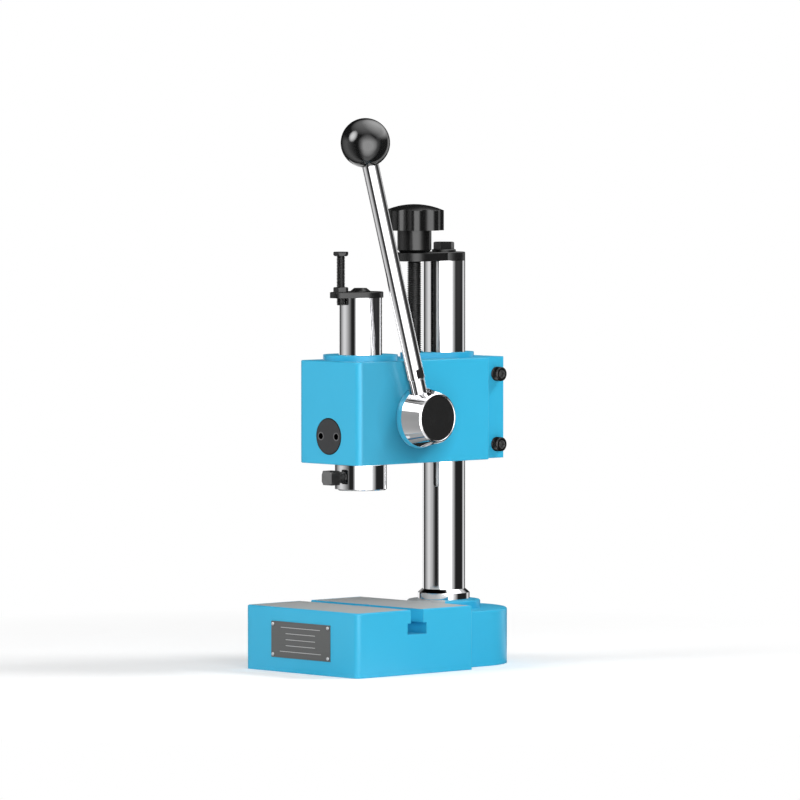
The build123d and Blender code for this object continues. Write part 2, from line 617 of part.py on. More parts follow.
def front_plug():
    face = -HEAD_FRONT - PLUG_STAND
    back = PLUG_THICKNESS - HEAD_FRONT
    plug = bar_y(PLUG_DIAMETER / 2, face, back, 0, PLUG_Z)
    rim = plug.edges().filter_by(GeomType.CIRCLE).sort_by(Axis.Y)[0]
    plug = chamfer(rim, PLUG_CHAMFER)
    for side in (-1, 1):
        x = side * PLUG_HOLE_SPACING / 2
        plug -= bar_y(PLUG_HOLE_DIAMETER / 2, face - PAST, face + PLUG_HOLE_DEPTH, x, PLUG_Z)
    plug -= bar_y(SPRING_POCKET_DIAMETER / 2, back - SPRING_POCKET_DEPTH, back + PAST, 0, PLUG_Z)
    return one_solid(plug)


def brake_seat():
    """Where the spring ends: the back of the brake pad that rubs on the ram."""
    return -RAM_DIAMETER / 2 - RUNNING - BRAKE_LENGTH


def brake_pad():
    pad = bar_y(BRAKE_DIAMETER / 2, brake_seat(), -BRAKE_WRAP, 0, PLUG_Z)
    pad -= disc(RAM_DIAMETER / 2 + RUNNING, HEAD_BOTTOM, HEAD_TOP)
    return one_solid(pad)


def brake_spring():
    start = PLUG_THICKNESS - SPRING_POCKET_DEPTH - HEAD_FRONT + SPRING_WIRE / 2 + SNUG
    end = brake_seat() - SPRING_WIRE / 2 - SNUG
    pitch = (end - start) / SPRING_TURNS
    path = Helix(pitch, end - start, SPRING_DIAMETER / 2)
    section = Plane(origin=path @ 0, z_dir=path % 0) * Circle(SPRING_WIRE / 2)
    coil = sweep(section, path)
    print(f"brake spring: gap between turns {pitch - SPRING_WIRE:.2f} mm")
    return one_solid(Pos(0, start, PLUG_Z) * Rot(-90, 0, 0) * coil)


# ---------------------------------------------------------------- pinion, hub and lever
def involute(angle):
    return math.tan(angle) - angle


def pinion_outline():
    """Involute teeth, with one tooth's middle on the -Y side, towards the rack."""
    pressure = math.radians(PRESSURE_ANGLE)
    base_radius = PITCH_RADIUS * math.cos(pressure)
    half_at_pitch = math.pi / (2 * PINION_TEETH) - BACKLASH / (4 * PITCH_RADIUS)
    flank = [(ROOT_RADIUS, half_at_pitch + involute(pressure))]
    for step in range(FLANK_STEPS + 1):
        radius = base_radius + (TIP_RADIUS - base_radius) * step / FLANK_STEPS
        turned = involute(math.acos(base_radius / radius))
        flank.append((radius, half_at_pitch + involute(pressure) - turned))
    corners = []
    for tooth in range(PINION_TEETH):
        middle = 2 * math.pi * tooth / PINION_TEETH + math.pi
        sides = [(r, middle - a) for r, a in flank] + [(r, middle + a) for r, a in reversed(flank)]
        corners += [(r * math.cos(a), r * math.sin(a)) for r, a in sides]
    return make_face(Polyline(*corners, close=True))


def pinion_shaft():
    teeth = extrude(pinion_outline(), PINION_FACE)
    # the outline's first axis becomes row Y and its second becomes row Z
    to_row = Plane(origin=(-HALF_FACE, PINION_Y, PINION_Z), x_dir=(0, 1, 0), z_dir=(1, 0, 0))
    shaft = to_row * teeth
    shaft += bar_x(SHAFT_DIAMETER / 2, 0, HUB_START, PINION_Y, PINION_Z)
    shaft += bar_x(HUB_SHAFT_DIAMETER / 2, 0, cap_seat() - FACE_GAP, PINION_Y, PINION_Z)
    shaft += bar_x(SHAFT_END_DIAMETER / 2, -HEAD_SIDE - FACE_GAP, 0, PINION_Y, PINION_Z)
    tap_end = -HEAD_SIDE - FACE_GAP + END_SCREW_LENGTH + TAP_EXTRA
    shaft -= bar_x(END_SCREW_DIAMETER / 2 + SNUG, -HEAD_SIDE - PAST, tap_end, PINION_Y, PINION_Z)
    shaft -= hub_key_bar(SNUG)
    return one_solid(shaft)


def bush_right():
    """Flush with the head's lever side, round the shaft's large journal."""
    end = HEAD_SIDE
    bush = bar_x(PINION_BORE_DIAMETER / 2 - SNUG, end - BUSH_LENGTH, end, PINION_Y, PINION_Z)
    bush -= bar_x(SHAFT_DIAMETER / 2 + RUNNING, 0, end + PAST, PINION_Y, PINION_Z)
    return one_solid(bush)


def bush_left():
    bush = bar_x(END_BUSH_DIAMETER / 2, -HEAD_SIDE, -HALF_FACE - FACE_GAP, PINION_Y, PINION_Z)
    bush -= bar_x(SHAFT_END_DIAMETER / 2 + RUNNING, -HEAD_SIDE - PAST, 0, PINION_Y, PINION_Z)
    return one_solid(bush)


def end_washer():
    face = -HEAD_SIDE - FACE_GAP
    washer = bar_x(END_WASHER_DIAMETER / 2, face - END_WASHER_THICKNESS, face, PINION_Y, PINION_Z)
    rim = washer.edges().filter_by(GeomType.CIRCLE).sort_by(Axis.X)[0]
    washer = chamfer(rim, END_WASHER_CHAMFER)
    through = (face - END_WASHER_THICKNESS - PAST, face + PAST)
    washer -= bar_x(END_SCREW_DIAMETER / 2 + FACE_GAP, *through, PINION_Y, PINION_Z)
    return one_solid(washer)


def end_screw():
    seat = -HEAD_SIDE - FACE_GAP - END_WASHER_THICKNESS
    head = bar_x(END_SCREW_HEAD_DIAMETER / 2, seat - END_SCREW_HEAD_HEIGHT, seat, PINION_Y, PINION_Z)
    rim = head.edges().filter_by(GeomType.CIRCLE).sort_by(Axis.X)[0]
    head = fillet(rim, END_SCREW_HEAD_ROUND)
    shank_end = -HEAD_SIDE - FACE_GAP + END_SCREW_LENGTH
    screw = head + bar_x(END_SCREW_DIAMETER / 2, seat, shank_end, PINION_Y, PINION_Z)
    socket = extrude(RegularPolygon(END_SCREW_SOCKET / 2, 6, major_radius=False), END_SCREW_HEAD_HEIGHT)
    floor = seat - END_SCREW_HEAD_HEIGHT + END_SCREW_SOCKET_DEPTH
    screw -= Pos(floor, PINION_Y, PINION_Z) * Rot(0, -90, 0) * socket
    return one_solid(screw)


def cap_seat():
    """The floor of the hub's recess for its cap."""
    return HUB_END - CAP_RECESS - CAP_THICKNESS


def hub_key_bar(extra):
    """The key between shaft and hub, on the side away from the lever."""
    half = HUB_KEY_WIDTH / 2 + extra
    shaft_radius = HUB_SHAFT_DIAMETER / 2
    inner = shaft_radius - HUB_KEY_DEPTH - extra
    outer = shaft_radius + HUB_KEY_DEPTH + extra
    middle = (HUB_START + cap_seat()) / 2
    span = (middle - HUB_KEY_LENGTH / 2 - extra, middle + HUB_KEY_LENGTH / 2 + extra)
    bar = block(span, (-half, half), (-outer, -inner))
    return Pos(0, PINION_Y, PINION_Z) * Rot(LEVER_LEAN, 0, 0) * bar


def along_lever(solid):
    """Places a piece made along +Z from the pinion's axis on the lever's line."""
    return Pos(LEVER_X, PINION_Y, PINION_Z) * Rot(LEVER_LEAN, 0, 0) * solid


def lever_hub():
    flare_end = HUB_START + HUB_FLARE_LENGTH
    end_radius = HUB_END_DIAMETER / 2
    profile = [
        (HUB_START, 0),
        (HUB_START, HUB_FLANGE_DIAMETER / 2),
        (HUB_START + HUB_FLANGE_LIP, HUB_FLANGE_DIAMETER / 2),
        (flare_end, HUB_ROOT_DIAMETER / 2),
        (HUB_END - HUB_END_CHAMFER, end_radius),
        (HUB_END, end_radius - HUB_END_CHAMFER),
        (HUB_END, 0),
    ]
    hub = turned_x(profile, PINION_Y, PINION_Z)
    hub -= bar_x(HUB_SHAFT_DIAMETER / 2 + SNUG, HUB_START - PAST, HUB_END, PINION_Y, PINION_Z)
    hub -= bar_x(CAP_DIAMETER / 2 + SNUG, cap_seat(), HUB_END + PAST, PINION_Y, PINION_Z)
    hub -= hub_key_bar(SNUG)
    hub -= along_lever(disc(LEVER_NECK_DIAMETER / 2 + SNUG, 0, HUB_FLANGE_DIAMETER))
    hub -= along_lever(disc(LEVER_SPOT_DIAMETER / 2, LEVER_SPOT_RADIUS, HUB_FLANGE_DIAMETER))
    return one_solid(hub)


def hub_cap():
    face = HUB_END - CAP_RECESS
    cap = bar_x(CAP_DIAMETER / 2, cap_seat(), face, PINION_Y, PINION_Z)
    rim = cap.edges().filter_by(GeomType.CIRCLE).sort_by(Axis.X)[-1]
    return one_solid(chamfer(rim, CAP_CHAMFER))


def hub_key():
    return one_solid(hub_key_bar(0.0))


def ball_flat():
    """From the ball's centre to the flat that meets the rod's shoulder."""
    return math.sqrt((BALL_DIAMETER / 2) ** 2 - (BALL_FLAT_DIAMETER / 2) ** 2)


def lever_rod():
    shoulder = LEVER_LENGTH - ball_flat()
    rod = disc(LEVER_NECK_DIAMETER / 2, LEVER_ROOT, LEVER_SHOULDER)
    shank = disc(LEVER_DIAMETER / 2, LEVER_SHOULDER, shoulder)
    shank = chamfer(shank.edges().filter_by(GeomType.CIRCLE).sort_by(Axis.Z)[0], LEVER_CHAMFER)
    flats_end = LEVER_FLATS_START + LEVER_FLATS_LENGTH
    for side in (-1, 1):
        near = side * LEVER_FLATS_WIDTH / 2
        x = sorted((near, side * LEVER_DIAMETER))
        shank -= block(x, (-LEVER_DIAMETER, LEVER_DIAMETER), (LEVER_FLATS_START, flats_end))
    rod += shank
    rod += disc(LEVER_TIP_DIAMETER / 2, shoulder, shoulder + LEVER_TIP_LENGTH)
    return one_solid(along_lever(rod))


def ball_knob():
    flat = LEVER_LENGTH - ball_flat()
    ball = Pos(0, 0, LEVER_LENGTH) * Sphere(BALL_DIAMETER / 2)
    around = (-BALL_DIAMETER, BALL_DIAMETER)
    ball -= block(around, around, (flat - BALL_DIAMETER, flat))
    ball -= disc(LEVER_TIP_DIAMETER / 2 + SNUG, flat - PAST, flat + LEVER_TIP_LENGTH + FACE_GAP)
    return one_solid(along_lever(ball))


# ---------------------------------------------------------------- ram
def rack_gap(z):
    """One tooth space of the rack, cut across the ram's back."""
    slope = math.tan(math.radians(PRESSURE_ANGLE))
    half_at_pitch = TOOTH_PITCH / 4 + BACKLASH / 4
    outer = RACK_TIP + PAST
    half_out = half_at_pitch + (outer - RACK_OFFSET) * slope
    half_in = half_at_pitch - (RACK_OFFSET - RACK_ROOT) * slope
    corners = [(outer, -half_out), (outer, half_out), (RACK_ROOT, half_in), (RACK_ROOT, -half_in)]
    gap = extrude(make_face(Polyline(*corners, close=True)), RAM_DIAMETER)
    to_row = Plane(origin=(-RAM_DIAMETER / 2, 0, z), x_dir=(0, 1, 0), z_dir=(1, 0, 0))
    return to_row * gap


def ram():
    shaft = disc(RAM_DIAMETER / 2, RAM_BOTTOM, RAM_TOP)
    shaft -= block((-RAM_DIAMETER, RAM_DIAMETER), (RACK_TIP, RAM_DIAMETER), (RACK_START, RAM_TOP + PAST))
    spaces = int((RAM_TOP - RACK_START) / TOOTH_PITCH)
    for number in range(spaces):
        shaft -= rack_gap(RACK_START + (number + 0.5) * TOOTH_PITCH)
    nose = disc(RAM_HEAD_DIAMETER / 2, RAM_BOTTOM, RAM_BOTTOM + RAM_HEAD_LENGTH)
    nose = chamfer(nose.edges().filter_by(GeomType.CIRCLE), RAM_HEAD_CHAMFER)
    shaft += nose
    shaft -= disc(TOOL_BORE_DIAMETER / 2, RAM_BOTTOM - PAST, RAM_BOTTOM + TOOL_BORE_DEPTH)
    shaft -= bar_y(TOOL_SCREW_DIAMETER / 2 + RUNNING, -RAM_HEAD_DIAMETER, 0, 0, TOOL_SCREW_Z)
    shaft -= disc(CROWN_SCREW_DIAMETER / 2 + SNUG, RAM_TOP - CROWN_SCREW_GRIP - TAP_EXTRA, RAM_TOP + PAST)
    return one_solid(shaft)


def ram_crown_plate():
    plate = linked_discs(CROWN_DIAMETER / 2, 0, CROWN_EAR_RADIUS, -STOP_OFFSET, RAM_TOP, CROWN_TOP)
    plate = chamfer(plate.faces().sort_by(Axis.Z)[-1].edges(), CROWN_CHAMFER)
    through = (RAM_TOP - PAST, CROWN_TOP + PAST)
    plate -= disc(CROWN_SCREW_DIAMETER / 2 + FACE_GAP, *through)
    plate -= disc(STOP_DIAMETER / 2 + RUNNING, *through, y=-STOP_OFFSET)
    return one_solid(plate)


def crown_screw():
    """A low head with sloped sides and a flat, socketed top."""
    top = CROWN_TOP + CROWN_SCREW_HEAD_HEIGHT
    head = disc(CROWN_SCREW_HEAD_DIAMETER / 2, CROWN_TOP, top)
    rim = head.edges().filter_by(GeomType.CIRCLE).sort_by(Axis.Z)[-1]
    side = (CROWN_SCREW_HEAD_DIAMETER - CROWN_SCREW_TOP_DIAMETER) / 2
    head = chamfer(rim, CROWN_SCREW_HEAD_HEIGHT - CROWN_SCREW_RIM, side)
    screw = head + disc(CROWN_SCREW_DIAMETER / 2, RAM_TOP - CROWN_SCREW_GRIP, CROWN_TOP)
    screw -= hexagon(CROWN_SCREW_SOCKET, top - CROWN_SCREW_SOCKET_DEPTH, top + PAST)
    return one_solid(screw)


def stop_lock_nut():
    nut = hex_head(STOP_FLATS, CROWN_TOP, CROWN_TOP + STOP_NUT_HEIGHT, -STOP_OFFSET)
    nut -= disc(STOP_DIAMETER / 2 + RUNNING, RAM_TOP, CROWN_TOP + STOP_NUT_HEIGHT + PAST, y=-STOP_OFFSET)
    return one_solid(nut)


def stop_screw():
    seat = CROWN_TOP + STOP_HEAD_ABOVE_CROWN
    screw = hex_head(STOP_FLATS, seat, seat + STOP_HEAD_HEIGHT, -STOP_OFFSET)
    screw += disc(STOP_DIAMETER / 2, RAM_TOP - STOP_REACH, seat, y=-STOP_OFFSET)
    low_rim = screw.edges().filter_by(GeomType.CIRCLE).sort_by(Axis.Z)[0]
    return one_solid(chamfer(low_rim, STOP_END_CHAMFER))


def tool_screw():
    """Square-headed screw that holds the punch's shank in the ram."""
    neck_start = -RAM_HEAD_DIAMETER / 2 - TOOL_SCREW_NECK
    tip = -TOOL_BORE_DIAMETER / 2 - FACE_GAP
    half = TOOL_SCREW_SQUARE / 2
    head = block((-half, half), (neck_start - TOOL_SCREW_HEAD, neck_start),
                 (TOOL_SCREW_Z - half, TOOL_SCREW_Z + half))
    head = chamfer(head.faces().sort_by(Axis.Y)[0].edges(), TOOL_SCREW_CHAMFER)
    return one_solid(head + bar_y(TOOL_SCREW_DIAMETER / 2, neck_start, tip, 0, TOOL_SCREW_Z))


PIECES = {
    "base_casting": base_casting(),
    "name_plate": name_plate(),
    "name_plate_rivets": name_plate_rivets(),
    "column": column(),
    "column_collar": column_collar(),
    "column_foot_bolt": column_foot_bolt(),
    "column_foot_washer": column_foot_washer(),
    "top_plate": top_plate(),
    "top_plate_washer": top_plate_washer(),
    "top_plate_bolt": top_plate_bolt(),
    "elevating_screw": elevating_screw(),
    "screw_retaining_ring": screw_retaining_ring(),
    "elevating_knob": elevating_knob(),
    "head_casting": head_casting(),
    "column_key": column_key(),
    "lower_clamp_screw": clamp_screw(clamp_heights()[0]),
    "upper_clamp_screw": clamp_screw(clamp_heights()[1]),
    "front_plug": front_plug(),
    "brake_spring": brake_spring(),
    "brake_pad": brake_pad(),
    "pinion_bush_right": bush_right(),
    "pinion_bush_left": bush_left(),
    "pinion_shaft": pinion_shaft(),
    "pinion_end_washer": end_washer(),
    "pinion_end_screw": end_screw(),
    "lever_hub": lever_hub(),
    "hub_key": hub_key(),
    "hub_cap": hub_cap(),
    "lever_rod": lever_rod(),
    "ball_knob": ball_knob(),
    "ram": ram(),
    "ram_crown_plate": ram_crown_plate(),
    "crown_screw": crown_screw(),
    "stop_lock_nut": stop_lock_nut(),
    "stop_screw": stop_screw(),
    "tool_clamp_screw": tool_screw(),
}

for piece_name, piece in PIECES.items():
    save(piece_name, piece)
print(f"{len(PIECES)} pieces; stroke to the stop {RAM_TOP - STOP_REACH - PAD_TOP:.2f} mm")
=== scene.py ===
# %% [markdown]
# # A small column press, dressed for its portrait
# The frame is the press as its maker would measure it: every casting, shaft and screw at its real
# size, in metres, standing on z = 0 with the ram's axis on the Z axis. This notebook never moves
# those pieces. It gives each one a finish, cuts real threads where the frame has plain bars, and
# builds a small photo studio round the whole.

# %% Load the frame
import json
import math

import bmesh
import bpy
from mathutils import Matrix, Vector

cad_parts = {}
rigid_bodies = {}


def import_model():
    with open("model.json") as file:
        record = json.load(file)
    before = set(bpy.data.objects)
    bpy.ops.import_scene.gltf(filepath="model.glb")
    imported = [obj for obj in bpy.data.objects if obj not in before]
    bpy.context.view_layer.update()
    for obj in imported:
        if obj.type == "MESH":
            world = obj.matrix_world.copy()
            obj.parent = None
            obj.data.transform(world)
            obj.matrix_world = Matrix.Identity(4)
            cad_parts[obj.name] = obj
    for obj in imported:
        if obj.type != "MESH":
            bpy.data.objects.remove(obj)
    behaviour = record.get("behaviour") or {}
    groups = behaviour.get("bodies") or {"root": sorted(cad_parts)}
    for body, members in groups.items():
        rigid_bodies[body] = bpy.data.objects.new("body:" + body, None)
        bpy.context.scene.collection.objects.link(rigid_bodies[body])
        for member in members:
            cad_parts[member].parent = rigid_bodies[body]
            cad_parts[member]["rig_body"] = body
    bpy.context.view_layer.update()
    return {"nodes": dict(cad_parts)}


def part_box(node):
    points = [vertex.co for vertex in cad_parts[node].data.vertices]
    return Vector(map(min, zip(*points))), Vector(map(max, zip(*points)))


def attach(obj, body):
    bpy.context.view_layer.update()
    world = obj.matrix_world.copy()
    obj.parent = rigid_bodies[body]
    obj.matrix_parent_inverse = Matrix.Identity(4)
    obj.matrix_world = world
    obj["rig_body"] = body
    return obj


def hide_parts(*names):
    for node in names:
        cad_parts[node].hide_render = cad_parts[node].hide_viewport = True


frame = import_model()
nodes = frame["nodes"]

# %% [markdown]
# ## Sizes that the finishes need
# A finish such as the bare, ground table top has to know where the table ends. Those places are
# read from the frame, so the finish follows the press if the press changes.

# %% Read places from the frame
MM = 0.001


def middle(node):
    """The middle of a node's box."""
    low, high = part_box(node)
    return (low + high) / 2


base_low, base_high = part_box("base_casting")
column_axis = middle("column_collar")
table_top = base_high.z
print(f"table top at {table_top / MM:.1f} mm, column {column_axis.y / MM:.1f} mm behind the ram")

# %% [markdown]
# ## Writing shaders as sums
# A material is a web of nodes. Wiring it by hand hides the idea, so `Wire` wraps one output socket
# and lets Python's operators add the Math nodes: `1 - mask` and `0.3 + 0.1 * grain` read as they
# would on paper. `Finish` owns one material's tree, and its `node` method makes every other node.

# %% A socket that can be added and multiplied
class Wire:
    """An output socket of a finish's tree."""

    def __init__(self, finish, socket):
        self.finish = finish
        self.socket = socket

    def maths(self, operation, first, second=0.0, clamp=False):
        settings = {"operation": operation, "use_clamp": clamp}
        return self.finish.node("ShaderNodeMath", settings, {0: first, 1: second})

    def __add__(self, other):
        return self.maths("ADD", self, other)

    def __radd__(self, other):
        return self.maths("ADD", other, self)

    def __sub__(self, other):
        return self.maths("SUBTRACT", self, other)

    def __rsub__(self, other):
        return self.maths("SUBTRACT", other, self)

    def __mul__(self, other):
        return self.maths("MULTIPLY", self, other)

    def __rmul__(self, other):
        return self.maths("MULTIPLY", other, self)

    def __truediv__(self, other):
        return self.maths("DIVIDE", self, other)

    def __rtruediv__(self, other):
        return self.maths("DIVIDE", other, self)

    def least(self, other):
        return self.maths("MINIMUM", self, other)

    def most(self, other):
        return self.maths("MAXIMUM", self, other)

    def size(self):
        return self.maths("ABSOLUTE", self)

    def root(self):
        return self.maths("SQRT", self)

    def step(self, start, end):
        """0 below start, 1 above end, and a straight ramp between them."""
        return self.maths("MULTIPLY", self - start, 1 / (end - start), clamp=True)


# %% A material under construction
class Finish:
    """One material, or the world, and the few kinds of node that this press needs."""

    def __init__(self, name, kind="materials"):
        self.material = getattr(bpy.data, kind).new(name)
        self.material.use_nodes = True
        self.tree = self.material.node_tree
        self.tree.nodes.clear()

    def node(self, kind, settings=None, sockets=None, out=0):
        """Adds a node: its settings first, then the values or wires of its sockets."""
        made = self.tree.nodes.new(kind)
        for key, value in (settings or {}).items():
            setattr(made, key, value)
        for key, value in (sockets or {}).items():
            if isinstance(value, Wire):
                self.tree.links.new(value.socket, made.inputs[key])
            else:
                made.inputs[key].default_value = value
        return Wire(self, made.outputs[out]) if made.outputs else made

    def place(self):
        """Where a point of the piece is, in the frame's metres."""
        return self.node("ShaderNodeTexCoord", out=3)

    def parts(self, vector):
        """The three numbers of a vector."""
        split = self.node("ShaderNodeSeparateXYZ", sockets={0: vector}).socket.node
        return [Wire(self, split.outputs[i]) for i in range(3)]

    def ray(self, *facts):
        """The sum of what Light Path says about the ray that asks, one number for each fact."""
        path = self.node("ShaderNodeLightPath").socket.node
        total = Wire(self, path.outputs[facts[0]])
        for fact in facts[1:]:
            total = total + Wire(self, path.outputs[fact])
        return total

    def stretched(self, scale):
        """Places scaled by a different amount along each axis."""
        return self.node("ShaderNodeVectorMath", {"operation": "MULTIPLY"}, {0: self.place(), 1: scale})

    def grain(self, size, detail=3.0, where=None):
        """Noise from 0 to 1 whose blotches are about `size` metres across."""
        sockets = {"Vector": where or self.place(), "Scale": 1 / size, "Detail": detail}
        return self.node("ShaderNodeTexNoise", sockets=sockets)

    def streaks(self, axis, along, across):
        """Noise whose blotches are `along` metres long on one axis and `across` on the other two."""
        scale = [1 / across] * 3
        scale["XYZ".index(axis)] = 1 / along
        return self.grain(1.0, 2.0, self.stretched(tuple(scale)))

    def facing(self):
        """Which way the surface faces, before any bump."""
        return self.node("ShaderNodeNewGeometry", out=1)

    def agreement(self, first, second):
        """1 where two directions of length 1 are the same, 0 where they are square to each other."""
        return self.node("ShaderNodeVectorMath", {"operation": "DOT_PRODUCT"}, {0: first, 1: second}, out=1)

    def soft_edge(self, radius):
        """A normal that rounds the sharp edges over."""
        return self.node("ShaderNodeBevel", {"samples": 4}, {"Radius": radius})

    def blend(self, factor, first, second):
        """A colour between two colours."""
        return self.node("ShaderNodeMix", {"data_type": "RGBA"}, {0: factor, 6: first, 7: second}, out=2)

    def bump(self, height, depth, under=None):
        """A normal bent by a height from 0 to 1 that is `depth` metres deep."""
        sockets = {"Height": height, "Distance": depth, "Strength": 1.0}
        if under:
            sockets["Normal"] = under
        return self.node("ShaderNodeBump", sockets=sockets)

    def done(self, **sockets):
        """Closes the tree with one Principled shader."""
        named = {key.replace("_", " "): value for key, value in sockets.items()}
        surface = self.node("ShaderNodeBsdfPrincipled", sockets=named)
        self.node("ShaderNodeOutputMaterial", sockets={"Surface": surface})
        print(f"finish {self.material.name}: {len(self.tree.nodes)} nodes")
        return self.material


def distance(first, second):
    """How far a point is from an axis, from its two distances at right angles to the axis."""
    return (first * first + second * second).root()


def tone(red, green=None, blue=None):
    """A colour as a paint chart gives it, 0 to 255, in the linear numbers that shaders take."""
    chart = (red, red if green is None else green, red if blue is None else blue)
    linear = []
    for value in chart:
        share = value / 255
        linear.append(share / 12.92 if share < 0.04045 else ((share + 0.055) / 1.055) ** 2.4)
    return (*linear, 1.0)


# %% [markdown]
# ## Sky-blue enamel
# The two castings are iron under a thick satin enamel. Sprayed enamel is never quite flat: it dries
# to a faint orange-peel, its gloss wanders a little, and fine dust dulls what faces upwards. The
# frame's edges are rounded only where the casting is, so a Bevel node also softens the small sharp
# ones, as a coat of paint does.

# %% Enamel
ENAMEL = tone(54, 185, 226)
ENAMEL_DEEP = tone(46, 173, 214)
PEEL_SIZE = 1.3 * MM
PEEL_DEPTH = 0.006 * MM
PAINTED_EDGE = 0.45 * MM
DUST = 0.34


def enamel_parts(paint):
    """The colour, gloss and normal that both castings share."""
    wander = paint.grain(35 * MM)
    peel = paint.grain(PEEL_SIZE, 1.0)
    colour = paint.blend(wander * 0.5, ENAMEL, ENAMEL_DEEP)
    _, _, up = paint.parts(paint.facing())
    gloss = 0.27 + 0.08 * paint.grain(9 * MM) + DUST * up.step(0.7, 0.95)
    return colour, gloss, paint.bump(peel, PEEL_DEPTH, paint.soft_edge(PAINTED_EDGE))


# %% [markdown]
# The head's lever side carries painted shade: the enamel in front of the hub is painted greyer and
# darker, and a painted shadow darkens it round the hub, most of all below it.

# %% Enamel with painted shade and a painted shadow
SIDE_SKIN = 0.5 * MM
SIDE_SHADE = tone(66, 161, 195)
SIDE_SHADE_SHARE = 0.7
SIDE_SHADE_START, SIDE_SHADE_END = -10 * MM, 30 * MM
HUB_SHADOW = tone(34, 110, 138)
HUB_SHADOW_SHARE = 0.85
HUB_SHADOW_START, HUB_SHADOW_END = 22 * MM, 41 * MM
HUB_SHADOW_WAY = (-0.3, -0.95)


def head_finish():
    paint = Finish("enamel_with_painted_shade")
    colour, gloss, normal = enamel_parts(paint)
    x, y, z = paint.parts(paint.place())
    hub = middle("hub_cap")
    back, up = y - hub.y, z - hub.z
    reach = distance(back, up)
    hub_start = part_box("lever_hub")[0].x
    side = x.step(hub_start - 2 * SIDE_SKIN, hub_start - SIDE_SKIN)
    # Painted shade: greyer, darker enamel on the side face in front of the hub.
    side_shade = side * (1 - y.step(SIDE_SHADE_START, SIDE_SHADE_END))
    # Painted shadow round the hub, strongest below it.
    below = (back * HUB_SHADOW_WAY[0] + up * HUB_SHADOW_WAY[1]) / reach * 0.5 + 0.5
    hub_shadow = side * (1 - reach.step(HUB_SHADOW_START, HUB_SHADOW_END)) * below
    side_shaded = paint.blend(side_shade * SIDE_SHADE_SHARE, colour, SIDE_SHADE)
    colour = paint.blend(hub_shadow * HUB_SHADOW_SHARE, side_shaded, HUB_SHADOW)
    return paint.done(Base_Color=colour, Roughness=gloss, Normal=normal)


# %% [markdown]
# ## The base: enamel with a ground top
# The table is ground flat after painting, so bare grey iron shows from near its front edges back to
# the column's foot, and past it on one side, and the enamel ends in a soft, uneven line. The mask is
# a distance: how far a point of the top lies inside the table's outline, roughened by noise. Its
# sign says paint or iron.

# %% Enamel and ground iron in one material
IRON = tone(184, 186, 185)
IRON_DARK = tone(160, 163, 164)
PAINT_LIP = 1.5 * MM
LIP_WANDER = 1.6 * MM
TOP_SKIN = 0.05 * MM
FOOT_CLEAR = 19.5 * MM
IRON_TURN = math.radians(46.8)
IRON_REACH = 3.4 * MM
BOSS_REACH = 27 * MM
BOSS_WEAR = 1.6 * MM
BOSS_EDGE = 1 * MM
BARE_EDGE = 0.35 * MM


def ground_mask(paint):
    """1 on the bare iron of the table top, 0 on the enamel."""
    x, y, z = paint.parts(paint.place())
    sides = base_high.x - x.size()
    front = y - base_low.y
    behind = y - column_axis.y
    across = x * math.cos(IRON_TURN) + behind * math.sin(IRON_TURN)
    back = (IRON_REACH - across).most(-FOOT_CLEAR - behind)
    inside = sides.least(front).least(back)
    wandering = inside - PAINT_LIP - LIP_WANDER * paint.grain(14 * MM, 2.0)
    on_boss = 1 - distance(x, behind).step(BOSS_REACH - BOSS_EDGE, BOSS_REACH)
    lowest = table_top - TOP_SKIN - BOSS_WEAR * on_boss
    on_top = (z - lowest).step(0.0, TOP_SKIN / 2)
    return wandering.step(0.0, BARE_EDGE) * on_top


def base_finish():
    paint = Finish("enamel_and_ground_iron")
    colour, gloss, normal = enamel_parts(paint)
    bare = ground_mask(paint)
    strokes = paint.streaks("X", 60 * MM, 0.35 * MM)
    iron = paint.blend(strokes, IRON_DARK, IRON)
    both = paint.blend(bare, colour, iron)
    dull = bare * (0.58 + 0.12 * strokes) + (1 - bare) * gloss
    return paint.done(Base_Color=both, Roughness=dull, Metallic=bare * 0.2, Normal=normal)


# %% [markdown]
# ## Chrome
# Hard chrome is a mirror: almost all of its look is what stands round it. What keeps it from looking
# like glass is the grinding that went before the plating, which leaves rings too fine to see one by
# one. They run round the bar, so the noise is drawn out round it and kept short along its length.

# %% Chrome and its fine rings
CHROME = (0.90, 0.90, 0.91, 1.0)
CHROME_SMOKED = (0.80, 0.80, 0.82, 1.0)
RING_SPACING = 0.25 * MM
RING_LENGTH = 30 * MM


def chrome_parts(metal, axis):
    """The colour, gloss and normal of a chromed bar that was ground round the given axis."""
    rings = metal.streaks(axis, RING_SPACING, RING_LENGTH)
    haze = metal.grain(18 * MM, 4.0)
    colour = metal.blend(haze * 0.4, CHROME, CHROME_SMOKED)
    gloss = 0.035 + 0.03 * rings + 0.02 * haze
    return colour, gloss, metal.bump(rings, 0.0002 * MM)


def chrome():
    metal = Finish("chrome_upright")
    colour, gloss, normal = chrome_parts(metal, "Z")
    return metal.done(Base_Color=colour, Metallic=1.0, Roughness=gloss, Normal=normal)


# %% [markdown]
# The column's keyway was milled after the plating, so its floor is plain steel with the cutter's
# long strokes in it, and painted shade darkens one corner of it. A point is in the keyway
# when it lies nearer to the column's axis than the column's skin does, and the key tells which way
# the keyway faces.

# %% Chrome column with a plain keyway
KEYWAY = 4.6 * MM
KEYWAY_SHADE_FULL, KEYWAY_SHADE_GONE = 1.0 * MM, 1.6 * MM
MILLED = tone(210)
MILLED_PALE = tone(240)
KEYWAY_SHADE = tone(10)
SKIN_START, SKIN_FULL = 0.04 * MM, 0.12 * MM


